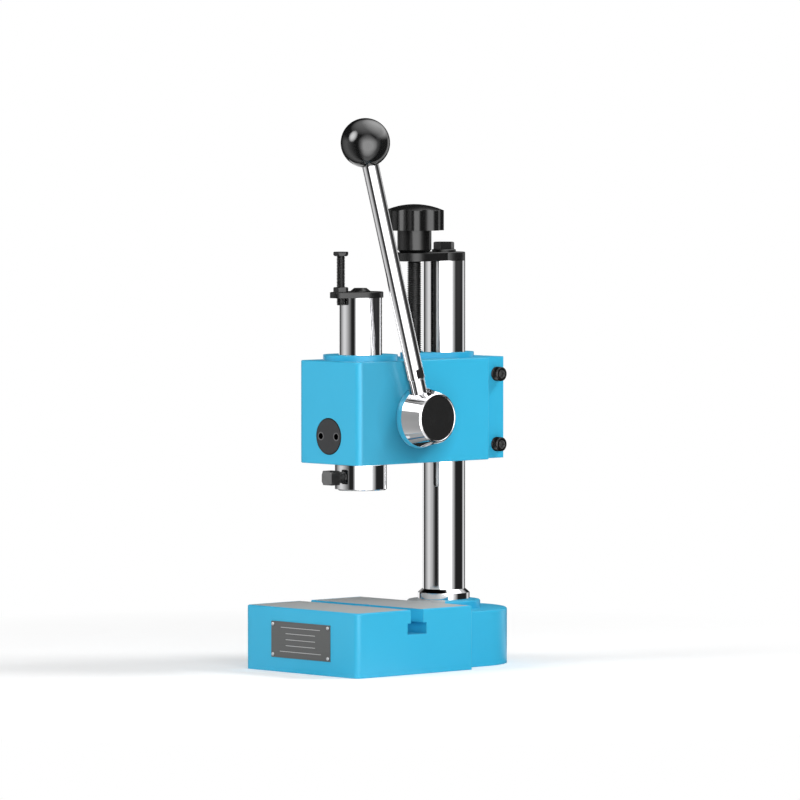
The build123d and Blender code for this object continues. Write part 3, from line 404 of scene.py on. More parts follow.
def column_finish():
    metal = Finish("chrome_column")
    colour, gloss, normal = chrome_parts(metal, "Z")
    x, y, _ = metal.parts(metal.place())
    back = y - column_axis.y
    low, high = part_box("column")
    skin_radius = (high.x - low.x) / 2
    ahead = (middle("column_key") - column_axis).to_2d().normalized()
    sideways = back * ahead.x - x * ahead.y
    inside = 1 - distance(x, back).step(skin_radius - SKIN_FULL, skin_radius - SKIN_START)
    strokes = metal.streaks("Z", 30 * MM, 0.4 * MM)
    # Painted shade: one corner of the keyway is darkened.
    shaded_corner = 1 - sideways.step(KEYWAY_SHADE_FULL - KEYWAY / 2, KEYWAY_SHADE_GONE - KEYWAY / 2)
    milled = metal.blend(shaded_corner, metal.blend(strokes, MILLED, MILLED_PALE), KEYWAY_SHADE)
    both = metal.blend(inside, colour, milled)
    return metal.done(Base_Color=both, Metallic=1 - 0.85 * inside, Roughness=gloss + 0.4 * inside,
                      Normal=normal)


# %% [markdown]
# The collar at the column's foot has a sloped shoulder whose chrome is painted dark as a painted
# reflection, apart from a stretch on the lever's side. The rest of it is as bright as the column.

# %% Chrome collar with a painted dark reflection on its shoulder
SHOULDER = (0.15, 0.45)
PAINTED_DARK_REFLECTION = tone(16)
BRIGHT_REFLECTION_TURN = math.radians(86)
BRIGHT_REFLECTION_SPAN = (0.55, 0.59)


def collar_finish():
    metal = Finish("chrome_collar")
    colour, gloss, normal = chrome_parts(metal, "Z")
    facing = metal.facing()
    _, _, up = metal.parts(facing)
    bright_reflection = metal.agreement(facing, (math.sin(BRIGHT_REFLECTION_TURN), -math.cos(BRIGHT_REFLECTION_TURN), 0.0))
    # Painted reflection: the shoulder is dark except on the lever's side.
    dark_reflection = up.step(*SHOULDER) * (1 - bright_reflection.step(*BRIGHT_REFLECTION_SPAN))
    return metal.done(Base_Color=metal.blend(dark_reflection, colour, PAINTED_DARK_REFLECTION), Metallic=1.0,
                      Roughness=gloss + 0.1 * dark_reflection, Normal=normal)


# %% [markdown]
# The hub's flange is painted the head's blue as a painted reflection of the face beside it, a
# little darker as painted shade, and only the cone outside it is bare chrome.

# %% Chrome hub with a painted flange
FLARE = 3.8 * MM
PAINT_LINE = 0.15 * MM
FLANGE_REFLECTION_PAINT = tone(62, 176, 212)


def hub_chrome_finish():
    metal = Finish("chrome_hub")
    colour, gloss, normal = chrome_parts(metal, "X")
    x, _, _ = metal.parts(metal.place())
    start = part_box("lever_hub")[0].x
    # Painted reflection and shade: the flange takes a slightly darker blue than the head's enamel.
    paint = 1 - x.step(start + FLARE - PAINT_LINE, start + FLARE)
    both = metal.blend(paint, colour, FLANGE_REFLECTION_PAINT)
    return metal.done(Base_Color=both, Metallic=1 - paint, Roughness=gloss + 0.26 * paint, Normal=normal)


# %% [markdown]
# ## Blackened steel, bare steel and bronze
# Screws, nuts and plates are blackened: a thin oxide that is nearly black but still catches light on
# turned faces. The hidden shafts and keys are bare ground steel, and the bushes are turned bronze.

# %% Blackened steel
BLACK_EDGE = 0.25 * MM
LIT_FACE_DARK, LIT_FACE_PALE = tone(92), tone(116)
LIT_FACE_DEPTH = 0.1 * MM


def black_steel(name, dark, pale, gloss, lit_face=None):
    """Blackened steel. What lies in front of the given face along Y is painted grey as painted light."""
    metal = Finish(name)
    cloud = metal.grain(4 * MM, 5.0)
    fine = metal.grain(0.22 * MM, 2.0)
    colour = metal.blend(cloud, tone(dark), tone(pale))
    dull = gloss + 0.10 * cloud + 0.05 * fine
    if lit_face is not None:
        _, y, _ = metal.parts(metal.place())
        # Painted light: the front face is painted grey, as if lit.
        lit_faces = 1 - y.step(lit_face, lit_face + LIT_FACE_DEPTH)
        colour = metal.blend(lit_faces, colour, metal.blend(cloud, LIT_FACE_DARK, LIT_FACE_PALE))
    return metal.done(Base_Color=colour, Metallic=0.15, Roughness=dull,
                      Normal=metal.bump(fine, 0.003 * MM, metal.soft_edge(BLACK_EDGE)))


# %% [markdown]
# A tool wears the black off where it bears. A socket screw turns grey inside its socket, which is
# found by a distance from the screw's axis, and it stays black outside.

# %% Socket screws
SOCKET_MOUTH = 2.9 * MM
MOUTH_EDGE = 0.15 * MM


def socket_steel(node):
    """A black cap screw whose socket has been worn to grey by its key."""
    metal = Finish(f"{node}_steel")
    x, y, z = metal.parts(metal.place())
    centre = middle(node)
    beside, up = y - centre.y, z - centre.z
    cloud = metal.grain(1.5 * MM, 4.0)
    socket = 1 - distance(beside, up).step(SOCKET_MOUTH - MOUTH_EDGE, SOCKET_MOUTH)
    socket = socket * x.step(centre.x, centre.x + 1 * MM)
    black = metal.blend(cloud, tone(12), tone(26))
    colour = metal.blend(socket, black, metal.blend(cloud, tone(74), tone(106)))
    dull = 0.24 + 0.08 * cloud + 0.2 * socket
    return metal.done(Base_Color=colour, Metallic=0.15, Roughness=dull,
                      Normal=metal.bump(cloud, 0.004 * MM, metal.soft_edge(BLACK_EDGE)))


# %% [markdown]
# A bolt's flats are painted grey as painted light. The way each flat faces tells the flats apart.

# %% Bolt on the top plate
FLAT_TURN = math.radians(58.8)
FLAT_WIDE = (0.88, 0.95)
BOLT_EDGE = 0.3 * MM


def bolt_painted_lit_flats():
    """Four of the six flats are painted grey as painted light. The other pair is matt black."""
    metal = Finish("bolt_painted_lit_flats")
    facing = metal.facing()
    _, _, up = metal.parts(facing)
    along = metal.agreement(facing, (math.sin(FLAT_TURN), -math.cos(FLAT_TURN), 0.0))
    # Painted light: four flats are painted grey and the pair along FLAT_TURN stays black.
    lit_faces = (1 - along.size().step(*FLAT_WIDE)) * (1 - up.size().step(0.2, 0.6))
    cloud = metal.grain(2 * MM, 5.0)
    black = metal.blend(cloud, tone(14), tone(30))
    colour = metal.blend(lit_faces, black, metal.blend(cloud, tone(84), tone(108)))
    return metal.done(Base_Color=colour, Metallic=0.1, Roughness=0.5 + 0.1 * cloud, Specular_IOR_Level=0.12,
                      Normal=metal.bump(cloud, 0.01 * MM, metal.soft_edge(BOLT_EDGE)))


# %% [markdown]
# The front plug is turned with a pin spanner, which has two pins. Its face keeps the lathe's fine rings, and
# the pins have worn bright rims round the two holes.

# %% Spanner plug
PLUG_RIM = 0.9 * MM
HOLE_SPACING = 15.6 * MM
HOLE_RADIUS = 2.1 * MM
HOLE_RIM = 1.0 * MM
LATHE_RINGS = 0.35 * MM


def plug_finish():
    """Dull black, worn bright round the two spanner holes, with painted shade in them and in the rim's
    groove.
    """
    metal = Finish("plug_black")
    x, _, z = metal.parts(metal.place())
    centre = middle("front_plug")
    low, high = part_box("front_plug")
    up = z - centre.z
    reach = distance(x, up)
    from_hole = distance(x.size() - HOLE_SPACING / 2, up)
    in_hole = 1 - from_hole.step(HOLE_RADIUS + 0.05 * MM, HOLE_RADIUS + 0.15 * MM)
    near_hole = 1 - from_hole.step(HOLE_RADIUS + HOLE_RIM / 2, HOLE_RADIUS + HOLE_RIM) - in_hole
    plug_radius = (high.x - low.x) / 2
    rim = reach.step(plug_radius - PLUG_RIM, plug_radius - PLUG_RIM / 2)
    # Painted shade: the holes and the rim's groove are darkened.
    shaded_hollows = rim * 0.8 + in_hole
    cloud = metal.grain(3 * MM, 4.0)
    rings = metal.node("ShaderNodeMath", {"operation": "SINE"}, {0: reach * (2 * math.pi / LATHE_RINGS)})
    worn = near_hole * (0.5 + 0.25 * cloud)
    dark = metal.blend(cloud, tone(44), tone(54, 55, 58))
    face = metal.blend(worn, dark, tone(128, 129, 130))
    colour = metal.blend(shaded_hollows, face, tone(4))
    dull = 0.40 + 0.08 * cloud - 0.12 * worn
    return metal.done(Base_Color=colour, Metallic=0.15 + 0.85 * shaded_hollows, Roughness=dull,
                      Normal=metal.bump(rings, 0.002 * MM))


# %% [markdown]
# Shafts, keys and bushes come straight from the lathe or the grinder: clean metal with fine rings,
# like the chrome's, but rougher and a little stained.

# %% Bare steel and bronze
def turned_metal(name, pale, dark):
    metal = Finish(name)
    rings = metal.streaks("X", 0.12 * MM, 8 * MM)
    stain = metal.grain(6 * MM, 4.0)
    colour = metal.blend(stain, pale, dark)
    return metal.done(Base_Color=colour, Metallic=1.0, Roughness=0.22 + 0.16 * rings,
                      Normal=metal.bump(rings, 0.002 * MM))


# %% [markdown]
# ## Black plastics
# The round knob and the hub's cap are moulded with a fine, dull grain. The ball is polished
# phenolic: black, deep and glossy, with hardly any texture at all, only hairline handling marks.

# %% Moulded and polished plastic
MOULDED_EDGE = 0.35 * MM


def moulded_black(name, dark, pale):
    plastic = Finish(name)
    grain = plastic.grain(0.35 * MM, 2.0)
    patch = plastic.grain(12 * MM)
    colour = plastic.blend(patch, tone(dark), tone(pale))
    dull = 0.17 + 0.10 * grain
    return plastic.done(Base_Color=colour, Roughness=dull,
                        Normal=plastic.bump(grain, 0.004 * MM, plastic.soft_edge(MOULDED_EDGE)))


def polished_black():
    plastic = Finish("polished_black")
    marks = plastic.streaks("Y", 9 * MM, 0.2 * MM)
    patch = plastic.grain(16 * MM)
    colour = plastic.blend(patch, tone(16), tone(24, 24, 25))
    gloss = 0.10 + 0.06 * marks * patch
    return plastic.done(Base_Color=colour, Roughness=gloss, Coat_Weight=0.6, Coat_Roughness=0.04,
                        Normal=plastic.bump(marks, 0.0003 * MM))


# %% [markdown]
# ## The plate
# The plate's face is grey anodised sheet, brushed along its length. Its ruled lines are bright metal
# left standing, so they are cut as real ridges further down.

# %% Plate finishes
FIELD_SUNK = 0.25 * MM


def anodised():
    sheet = Finish("grey_anodised_sheet")
    strokes = sheet.streaks("X", 20 * MM, 0.12 * MM)
    _, y, _ = sheet.parts(sheet.place())
    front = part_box("name_plate")[0].y
    ridge = 1 - y.step(front + FIELD_SUNK / 3, front + FIELD_SUNK / 2)
    field = sheet.blend(strokes, tone(94, 95, 95), tone(112, 113, 112))
    colour = sheet.blend(ridge, field, tone(206))
    return sheet.done(Base_Color=colour, Metallic=0.3, Roughness=0.42 + 0.12 * strokes,
                      Normal=sheet.bump(strokes, 0.002 * MM))


def bright_line():
    sheet = Finish("bright_aluminium")
    strokes = sheet.streaks("X", 6 * MM, 0.10 * MM)
    colour = sheet.blend(strokes, tone(196), tone(226))
    return sheet.done(Base_Color=colour, Metallic=0.6, Roughness=0.30 + 0.15 * strokes,
                      Normal=sheet.bump(strokes, 0.002 * MM))


# %% [markdown]
# ## Dress the frame
# Each node gets its finish by name, and what has none in the table is blackened steel.

# %% Give every node its finish
upright_chrome = chrome()
hub_chrome = hub_chrome_finish()
blackened = black_steel("black_oxide_steel", 16, 30, 0.24)
plug_black = plug_finish()
tool_black = black_steel("black_steel_painted_lit_face", 16, 28, 0.34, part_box("tool_clamp_screw")[0].y + 0.3 * MM)
bare_steel = turned_metal("bare_steel", tone(172), tone(150))
bronze = turned_metal("turned_bronze", tone(196, 150, 92), tone(168, 122, 70))

FINISHES = {
    "base_casting": base_finish(),
    "head_casting": head_finish(),
    "name_plate": anodised(),
    "column": column_finish(),
    "column_collar": collar_finish(),
    "ram": upright_chrome,
    "lever_rod": upright_chrome,
    "lever_hub": hub_chrome,
    "front_plug": plug_black,
    "tool_clamp_screw": tool_black,
    "lower_clamp_screw": socket_steel("lower_clamp_screw"),
    "upper_clamp_screw": socket_steel("upper_clamp_screw"),
    "top_plate_bolt": bolt_painted_lit_flats(),
    "name_plate_rivets": bright_line(),
    "column_key": bare_steel,
    "brake_spring": bare_steel,
    "pinion_shaft": bare_steel,
    "hub_key": bare_steel,
    "pinion_bush_left": bronze,
    "pinion_bush_right": bronze,
    "brake_pad": bronze,
    "elevating_knob": moulded_black("moulded_knob_black", 13, 21),
    "hub_cap": moulded_black("moulded_cap_black", 30, 38),
    "ball_knob": polished_black(),
}

for name, node in nodes.items():
    node.data.materials.clear()
    node.data.materials.append(FINISHES.get(name, blackened))
print(f"{len(FINISHES)} nodes with their own finish, {len(nodes) - len(FINISHES)} blackened")

# %% [markdown]
# ## Pieces cut finer than the frame
# The frame holds its screws as plain bars at the thread's full diameter. Here each bar is cut again
# with a real thread: a flat-topped ridge that climbs one pitch in each turn and runs out at both
# ends. Everything is built upright on the Z axis, as on a lathe, and then laid where it belongs. A
# finer piece takes the frame node's place and body, so it moves as the node would.

# %% From a loose shape to a finished piece
MERGE = 0.002 * MM
SMOOTH_BELOW = math.radians(34)


def from_bmesh(name, shape, material):
    """Makes an object from a bmesh, smooth where its faces meet gently."""
    bmesh.ops.remove_doubles(shape, verts=shape.verts, dist=MERGE)
    bmesh.ops.recalc_face_normals(shape, faces=shape.faces)
    mesh = bpy.data.meshes.new(name)
    shape.to_mesh(mesh)
    shape.free()
    mesh.shade_smooth()
    mesh.set_sharp_from_angle(angle=SMOOTH_BELOW)
    mesh.materials.append(material)
    made = bpy.data.objects.new(name, mesh)
    bpy.context.scene.collection.objects.link(made)
    return made


def stand_in(node, shape, place):
    """Puts a finer piece where a frame node is: same finish and body."""
    shape.transform(place)
    piece = from_bmesh(f"{node}_cut", shape, FINISHES.get(node, blackened))
    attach(piece, nodes[node]["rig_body"])
    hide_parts(node)
    print(f"{piece.name}: {len(piece.data.polygons)} faces")


# %% Rings and skins
SIDES = 48


def ring(shape, radius, height):
    """A round loop of vertices. The radius may also depend on the angle."""
    loop = []
    for side in range(SIDES):
        turn = 2 * math.pi * side / SIDES
        reach = radius(turn) if callable(radius) else radius
        loop.append(shape.verts.new((reach * math.cos(turn), reach * math.sin(turn), height)))
    return loop


def skin(shape, profile):
    """A closed solid through rings of (radius, height), with a flat face on each end."""
    rings = [ring(shape, radius, height) for radius, height in profile]
    for below, above in zip(rings, rings[1:]):
        for side in range(SIDES):
            after = (side + 1) % SIDES
            shape.faces.new((below[side], below[after], above[after], above[side]))
    shape.faces.new(list(reversed(rings[0])))
    shape.faces.new(rings[-1])


def flats(corners, across, limit):
    """The outline of a nut or square head, no further out than a lathe's chamfer leaves it."""
    part = 2 * math.pi / corners

    def radius(turn):
        off_flat = (turn + part / 2) % part - part / 2
        return min(across / 2 / math.cos(off_flat), limit)

    return radius


# %% Thread
THREAD_FORM = ((0.0, 1.0), (0.25, 1.0), (0.5, 0.0), (0.75, 0.0))
THREAD_DEPTH = 0.5


def thread(shape, low, high, crest, pitch):
    """A threaded bar: THREAD_FORM gives (place in the pitch, height of the ridge) up one turn."""
    root = crest - THREAD_DEPTH * pitch
    turns = math.ceil((high - low) / pitch) + 1
    columns = []
    for side in range(SIDES + 1):
        turn = 2 * math.pi * side / SIDES
        column = []
        for climb in range(-1, turns):
            for place, ridge in THREAD_FORM:
                height = low + pitch * (climb + place + side / SIDES)
                held = min(max(height, low), high)
                fade = min((held - low) / pitch, (high - held) / pitch, 1.0)
                reach = root + (crest - root) * ridge * fade
                column.append(shape.verts.new((reach * math.cos(turn), reach * math.sin(turn), held)))
        columns.append(column)
    for here, there in zip(columns, columns[1:]):
        for row in range(len(here) - 1):
            shape.faces.new((here[row], there[row], there[row + 1], here[row + 1]))
    bmesh.ops.remove_doubles(shape, verts=shape.verts, dist=MERGE)
    bmesh.ops.holes_fill(shape, edges=[edge for edge in shape.edges if edge.is_boundary], sides=SIDES)


# %% [markdown]
# The elevating screw is threaded from its lower end up to the ring that holds it in the arm; above
# that it is a plain journal with the ring's groove, and its top is out of sight in the knob.

# %% Elevating screw
OVERLAP = 0.3 * MM
ELEVATING_PITCH = 1.5 * MM
RING_GROOVE = 0.6 * MM
JOURNAL_BELOW = 0.4 * MM


def upright(node):
    """Carries a shape from the Z axis to a node's own axis."""
    centre = middle(node)
    return Matrix.Translation((centre.x, centre.y, 0))


def half_width(node):
    low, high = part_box(node)
    return (high.x - low.x) / 2


screw_low, screw_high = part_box("elevating_screw")
clip_low, clip_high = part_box("screw_retaining_ring")
crest = half_width("elevating_screw")
journal = clip_low.z - JOURNAL_BELOW
shape = bmesh.new()
thread(shape, screw_low.z, journal, crest, ELEVATING_PITCH)
skin(shape, (
    (crest - RING_GROOVE, journal - OVERLAP), (crest, journal), (crest, clip_low.z),
    (crest - RING_GROOVE, clip_low.z), (crest - RING_GROOVE, clip_high.z), (crest, clip_high.z),
    (crest, screw_high.z - RING_GROOVE), (crest - RING_GROOVE, screw_high.z),
))
stand_in("elevating_screw", shape, upright("elevating_screw"))

# %% [markdown]
# The stop screw has a shallow hexagon head whose top corners are turned off. Its thread shows above
# the lock nut and again below the plate.

# %% Stop screw
STOP_PITCH = 1.0 * MM
STOP_HEAD = 3.1 * MM
STOP_ACROSS = 9.2 * MM
HEX_TURN = math.radians(30)
STOP_DIAMETER = 6.0 * MM

stop_low, stop_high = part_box("stop_screw")
seat = stop_high.z - STOP_HEAD
full = STOP_ACROSS / 2 / math.cos(math.pi / 6)
shape = bmesh.new()
thread(shape, stop_low.z, seat + OVERLAP, STOP_DIAMETER / 2, STOP_PITCH)
skin(shape, (
    (STOP_ACROSS / 2 - 0.5 * MM, seat), (flats(6, STOP_ACROSS, STOP_ACROSS / 2 + 0.1 * MM), seat + 0.3 * MM),
    (flats(6, STOP_ACROSS, full), seat + 1.1 * MM), (flats(6, STOP_ACROSS, full), stop_high.z - 0.35 * MM),
    (flats(6, STOP_ACROSS - 0.4 * MM, full - 0.4 * MM), stop_high.z),
))
stand_in("stop_screw", shape, upright("stop_screw") @ Matrix.Rotation(HEX_TURN, 4, "Z"))

# %% [markdown]
# The screw that clamps the tool lies along the Y axis and points its square head to the front, so
# its shape is tipped over: what was up now points to the front.

# %% Tool clamp screw
TOOL_PITCH = 1.25 * MM
TOOL_HEAD = 8.2 * MM
TOOL_DIAMETER = 8.0 * MM

tool_low, tool_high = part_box("tool_clamp_screw")
across = tool_high.x - tool_low.x
corner = across / math.sqrt(2)
face = -tool_low.y
shape = bmesh.new()
thread(shape, -tool_high.y, face - TOOL_HEAD + OVERLAP, TOOL_DIAMETER / 2, TOOL_PITCH)
skin(shape, (
    (flats(4, across, corner - 0.5 * MM), face - TOOL_HEAD),
    (flats(4, across, corner - 0.1 * MM), face - TOOL_HEAD + 0.5 * MM),
    (flats(4, across, corner - 0.1 * MM), face - 1.2 * MM),
    (flats(4, across - 0.3 * MM, across / 2 + 0.5 * MM), face),
))
tipped = Matrix.Translation((0, 0, middle("tool_clamp_screw").z)) @ Matrix.Rotation(math.pi / 2, 4, "X")
stand_in("tool_clamp_screw", shape, tipped)

# %% [markdown]
# The two socket screws that close the column clamp have a straight knurl round the head, a rounded
# rim, and a six-sided socket whose mouth is countersunk.

# %% Clamp screws
CLAMP_HEAD = 6.0 * MM
CLAMP_DIAMETER = 6.0 * MM
CLAMP_PITCH = 1.0 * MM
KNURL_DEPTH = 0.12 * MM
SOCKET = 5.0 * MM
SOCKET_DEPTH = 3.0 * MM
KNURLS = SIDES // 2


def knurled(radius):
    """A radius that dips between the knurl's ridges."""
    return lambda turn: radius - KNURL_DEPTH * (round(turn * SIDES / (2 * math.pi)) % 2)


def socket_head(shape, under, radius):
    """A cap screw's head that starts at height `under`, down to the floor of its socket."""
    top = under + CLAMP_HEAD
    hexagon = flats(6, SOCKET, SOCKET)
    skin(shape, (
        (radius - 0.3 * MM, under), (radius, under + 0.2 * MM), (radius, under + 0.6 * MM),
        (knurled(radius), under + 0.7 * MM), (knurled(radius), top - 1.0 * MM),
        (radius, top - 0.9 * MM), (radius - 0.1 * MM, top - 0.4 * MM),
        (radius - 0.6 * MM, top), (SOCKET / 2 + 0.55 * MM, top), (hexagon, top - 0.45 * MM),
        (hexagon, top - SOCKET_DEPTH),
    ))


for node in ("lower_clamp_screw", "upper_clamp_screw"):
    low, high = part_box(node)
    centre = middle(node)
    shape = bmesh.new()
    thread(shape, low.x, high.x - CLAMP_HEAD + OVERLAP, CLAMP_DIAMETER / 2, CLAMP_PITCH)
    socket_head(shape, high.x - CLAMP_HEAD, (high.z - low.z) / 2)
    lying = Matrix.Translation((0, centre.y, centre.z)) @ Matrix.Rotation(math.pi / 2, 4, "Y")
    stand_in(node, shape, lying)

# %% [markdown]
# A rounded chrome bead closes the hub's outer end round its black cap, so a bright ring shows from
# every side.

# %% Hub bead
BEAD_RADIUS = 0.62 * MM
BEAD_STEPS = 12

_, hub_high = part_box("lever_hub")
cap_low, cap_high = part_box("hub_cap")
bead_middle = (cap_high.z - cap_low.z) / 2 + BEAD_RADIUS
shape = bmesh.new()
loops = []
for step in range(BEAD_STEPS):
    turn = 2 * math.pi * step / BEAD_STEPS
    loops.append(ring(shape, bead_middle + BEAD_RADIUS * math.cos(turn), BEAD_RADIUS * math.sin(turn)))
for here, there in zip(loops, loops[1:] + loops[:1]):
    for side in range(SIDES):
        after = (side + 1) % SIDES
        shape.faces.new((here[side], here[after], there[after], there[side]))
centre = middle("hub_cap")
seat = Matrix.Translation((hub_high.x - BEAD_RADIUS / 2, centre.y, centre.z))
shape.transform(seat @ Matrix.Rotation(math.pi / 2, 4, "Y"))
bead = from_bmesh("hub_bead", shape, hub_chrome)
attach(bead, "lever")
print(f"hub bead {2 * bead_middle / MM:.1f} mm across")

# %% [markdown]
# The plate is a thin sheet whose ruled lines stand a little proud of its field. It is blank
# otherwise: a place for whatever its owner wants to engrave.

# %% Plate with ruled lines
RULE = 0.4 * MM
RULE_MARGINS = (10.0, 15.0, 15.0, 15.0, 9.0)


def slab(shape, low, high):
    """A box between two corners."""
    made = bmesh.ops.create_cube(shape, size=1.0)["verts"]
    for vert in made:
        vert.co = [a + (b - a) * (c + 0.5) for a, b, c in zip(low, high, vert.co)]


def ruled_plate():
    low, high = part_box("name_plate")
    field = low.y + FIELD_SUNK
    shape = bmesh.new()
    slab(shape, (low.x, field, low.z), high)
    gap = (high.z - low.z) / (len(RULE_MARGINS) + 1)
    for rule, margin in enumerate(RULE_MARGINS, start=1):
        z = high.z - gap * rule
        slab(shape, (low.x + margin * MM, low.y, z), (high.x - margin * MM, field + OVERLAP, z + RULE))
    return shape


stand_in("name_plate", ruled_plate(), Matrix.Identity(4))

# %% [markdown]
# ## The studio
# The press stands on a white floor with white all round it, and four soft boxes light it. A long
# lens, far off, keeps the upright edges nearly parallel, as in a catalogue picture.

# %% Camera
CAMERA_PLACE = (3.429997, -3.184049, 0.409912)
CAMERA_TURN = 46.7928
CAMERA_DIP = 2.7221
LENS = 303.33

camera_data = bpy.data.cameras.new("portrait_lens")
camera_data.lens = LENS
camera_data.sensor_width = 36.0
camera_data.clip_end = 50.0
camera = bpy.data.objects.new("portrait_camera", camera_data)
camera.location = CAMERA_PLACE
camera.rotation_euler = (math.radians(90 - CAMERA_DIP), 0, math.radians(CAMERA_TURN))
bpy.context.scene.collection.objects.link(camera)
bpy.context.scene.camera = camera
print(f"camera at {CAMERA_TURN} degrees, {LENS} mm lens")


# %% [markdown]
# The key lamp stands to the right of the lens, a smaller one on the lever's side, one in front, and
# a large weak one overhead. Mirrors don't see the lamps: square lights would look wrong in chrome.

# %% Soft boxes
SOFT_BOXES = (
    # name, degrees round from the front, degrees up, metres away, size, level
    ("key", 62, 6, 1.7, 1.0, 0.55),
    ("lever_side", 137, 45, 1.6, 0.45, 0.48),
    ("front", -18, 31, 1.7, 0.7, 0.36),
    ("overhead", 20, 80, 1.5, 1.4, 0.22),
)
LAMP_AIM = Vector((0.0, 0.03, 0.18))


def towards(turn, lift):
    """The direction that is `turn` degrees round from the front and `lift` degrees up."""
    turn, lift = math.radians(turn), math.radians(lift)
    return Vector((math.sin(turn) * math.cos(lift), -math.cos(turn) * math.cos(lift), math.sin(lift)))


def soft_box(name, turn, lift, away, size, level):
    """A square lamp. `level` is how bright it alone makes white paper that faces it."""
    data = bpy.data.lights.new(name, "AREA")
    data.size = size
    data.energy = level * (math.pi * away) ** 2
    lamp = bpy.data.objects.new(name, data)
    lamp.location = LAMP_AIM + towards(turn, lift) * away
    lamp.rotation_euler = towards(turn, lift).to_track_quat("Z", "Y").to_euler()
    lamp.visible_glossy = False
    bpy.context.scene.collection.objects.link(lamp)


for box in SOFT_BOXES:
    soft_box(*box)
print(f"{len(SOFT_BOXES)} soft boxes")

# %% [markdown]
# Chrome and black gloss need something to mirror, so a tent of cards stands close round the press.
# Only reflections see it: the camera, the shadows and the diffuse light pass through it. Its wall is
# nearly black with three plain cards hung on it, which draw the bright bands down the chrome, and
# one low white card stands opposite the camera. The ceiling is dark, and round glows on it stand for
# the soft boxes.

# %% Tent of cards
TENT_RADIUS = 0.55
TENT_FLOOR = -0.05 * MM
TENT_PROFILE = ((0.02, TENT_FLOOR), (TENT_RADIUS, TENT_FLOOR), (TENT_RADIUS, 0.8), (0.3, 1.1), (0.02, 1.15))
UNMIRRORED = (
    "head_casting", "lever_hub", "pinion_bush_left", "pinion_bush_right", "pinion_shaft", "brake_pad",
    "brake_spring", "hub_key", "column_key",
)
WALL_LOW, WALL_HIGH = 0.40, 0.56
BACK_LOW, BACK_HIGH = 0.27, 0.33
BACK_START, BACK_END = 230, 262
BACK_FADE = 4
CEILING = 0.012
GLOW_FOOT = 0.15
KEY_GLOW = (56, 4, 32, 12, 2.9)     # degrees round, degrees up, radius, blur, strength
GLOWS = (
    # degrees round, degrees up, radius, blur, strength, lowest height
    (150, 54, 29, 16, 2.2, 0.44),
    (346, 38, 11, 7, 9.0, 0.24),
    (60, 84, 26, 17, 1.4, 0.42),
    (136, 18, 18, 12, 0.026, 0.10),
)
BARE_WALL = 0.006
PALE, WHITE = 0.7, 1.0
CARDS = (
    # where it hangs, degrees round from the front where it starts and ends, soft edge, level
    ("front left", 270, 360, 40, PALE),
    ("behind the camera", 15, 120, 25, WHITE),
    ("straight behind", 165, 195, 10, PALE),
)


def disc(card, outward, turn, lift, radius, blur):
    """1 inside a round patch of directions, 0 outside it, with a blurred rim."""
    near = card.agreement(outward, towards(turn, lift))
    return near.step(math.cos(math.radians(radius + blur)), math.cos(math.radians(radius - blur)))


def tent_finish():
    """Light that depends on the direction from the press."""
    card = Finish("cards_and_glows")
    x, y, z = card.parts(card.place())
    turn = card.node("ShaderNodeMath", {"operation": "ARCTAN2"}, {0: x, 1: y * -1.0})
    turns = turn / (2 * math.pi) + 1.0
    round_from_front = 360 * card.node("ShaderNodeMath", {"operation": "FRACT"}, {0: turns})

    def between(start, end, edge):
        return round_from_front.step(start, start + edge) - round_from_front.step(end - edge, end)

    wall = BARE_WALL
    for _, start, end, edge, bright in CARDS:
        wall = wall + bright * between(start, end, edge)
    behind = between(BACK_START, BACK_END, BACK_FADE)
    level = CEILING + wall * (1 - z.step(WALL_LOW, WALL_HIGH))
    offset = card.node("ShaderNodeVectorMath", {"operation": "SUBTRACT"}, {0: card.place(), 1: LAMP_AIM})
    outward = card.node("ShaderNodeVectorMath", {"operation": "NORMALIZE"}, {0: offset})
    level = level + behind * (1 - z.step(BACK_LOW, BACK_HIGH))
    key = KEY_GLOW[-1] * disc(card, outward, *KEY_GLOW[:4])
    level = level * (1 + key) + key * z.step(WALL_LOW, WALL_HIGH)
    for *place, strength, foot in GLOWS:
        level = level + strength * disc(card, outward, *place) * z.step(foot, foot + GLOW_FOOT)
    direct = 1 - card.ray("Diffuse Depth").least(1.0)
    shine = card.node("ShaderNodeEmission", sockets={"Color": level * direct})
    card.node("ShaderNodeOutputMaterial", sockets={"Surface": shine})
    return card.material


def seen_by_mirrors(thing):
    """Stages a thing that shows in reflections and nowhere else."""
    for sight in ("camera", "diffuse", "shadow", "transmission"):
        setattr(thing, f"visible_{sight}", False)


tent_shape = bmesh.new()
rims = [ring(tent_shape, radius, height) for radius, height in TENT_PROFILE]
for below, above in zip(rims, rims[1:]):
    for side in range(SIDES):
        after = (side + 1) % SIDES
        tent_shape.faces.new((below[side], below[after], above[after], above[side]))
seen_by_mirrors(from_bmesh("tent_of_cards", tent_shape, tent_finish()))
for hidden in UNMIRRORED:
    nodes[hidden].visible_glossy = False
print(f"tent with {len(CARDS)} cards round its wall")

# %% [markdown]
# A black card that only mirrors see keeps the low white card out of the ball's rim.

# %% Black card
BACK_CARD_START, BACK_CARD_LENGTH = 12 * MM, 0.3
BACK_CARD_NEAR, BACK_CARD_FAR = 0.02, 0.11


def card_black():
    card = Finish("black_card")
    soot = card.grain(5 * MM)
    return card.done(Base_Color=card.blend(soot, tone(4), tone(8)), Roughness=0.9)


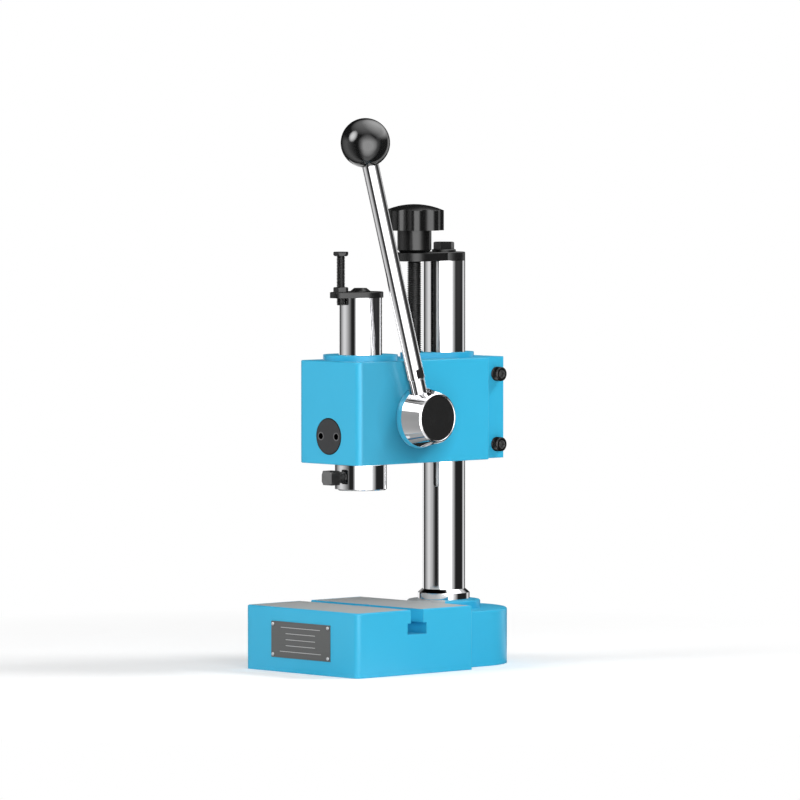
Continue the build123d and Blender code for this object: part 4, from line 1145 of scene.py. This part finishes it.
ball = middle("ball_knob")
ball.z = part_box("ball_knob")[0].z - 1 * MM
back_turn = (BACK_START + BACK_END) / 2
ahead, aside = towards(back_turn, 0), towards(back_turn + 90, 0)
start, end = ball + ahead * BACK_CARD_START, ball + ahead * BACK_CARD_LENGTH
card_shape = bmesh.new()
card_shape.faces.new([card_shape.verts.new(corner) for corner in (
    start - aside * BACK_CARD_NEAR, start + aside * BACK_CARD_NEAR,
    end + aside * BACK_CARD_FAR, end - aside * BACK_CARD_FAR,
)])
seen_by_mirrors(from_bmesh("card_behind_ball", card_shape, card_black()))
print("one black card")

# %% [markdown]
# The floor is paper that takes a soft shadow under the press and turns plain white further out, so
# that no horizon shows.

# %% Floor
FLOOR_SIZE = 30.0
FLOOR_DROP = 0.1 * MM
PAPER_LIFT = 0.2
PAPER_FADE = (0.25, 0.55)


def floor_finish():
    """Paper that takes the press's shadow, and plain white further out."""
    paper = Finish("white_floor")
    x, y, _ = paper.parts(paper.place())
    weave = paper.grain(40 * MM)
    pale = paper.blend(weave, tone(250), tone(255))
    matt = paper.node("ShaderNodeBsdfDiffuse", sockets={"Color": pale})
    lift = paper.node("ShaderNodeEmission", sockets={"Strength": PAPER_LIFT})
    near = paper.node("ShaderNodeAddShader", sockets={0: matt, 1: lift})
    white = paper.node("ShaderNodeEmission", sockets={"Strength": 1.0})
    away = distance(x, y)
    seen = paper.node("ShaderNodeMixShader", sockets={0: away.step(*PAPER_FADE), 1: near, 2: white})
    shown = paper.ray("Is Camera Ray", "Is Glossy Ray", "Is Transmission Ray")
    mixed = paper.node("ShaderNodeMixShader", sockets={0: shown, 1: matt, 2: seen})
    paper.node("ShaderNodeOutputMaterial", sockets={"Surface": mixed})
    return paper.material


floor_shape = bmesh.new()
bmesh.ops.create_grid(floor_shape, x_segments=1, y_segments=1, size=FLOOR_SIZE / 2)
bmesh.ops.translate(floor_shape, vec=(0, 0, -FLOOR_DROP), verts=floor_shape.verts)
floor = from_bmesh("floor", floor_shape, floor_finish())
print(f"floor {FLOOR_SIZE:.0f} m wide")

# %% [markdown]
# The camera and the mirrors see a white world. Soft light gets far less of it, because full white
# from all sides would wash the shading off the enamel.

# %% World
AMBIENT = 0.16


def studio_world():
    """White for the camera and for reflections, and much less for soft light."""
    sky = Finish("studio", "worlds")
    shown = sky.ray("Is Camera Ray", "Is Glossy Ray", "Is Transmission Ray")
    level = AMBIENT + (1 - AMBIENT) * shown
    white = sky.node("ShaderNodeBackground", sockets={"Color": (1.0, 1.0, 1.0, 1.0), "Strength": level})
    sky.node("ShaderNodeOutputWorld", sockets={"Surface": white})
    return sky.material


bpy.context.scene.world = studio_world()
bpy.context.scene.view_settings.view_transform = "Standard"
print(f"ambient light at {AMBIENT}")
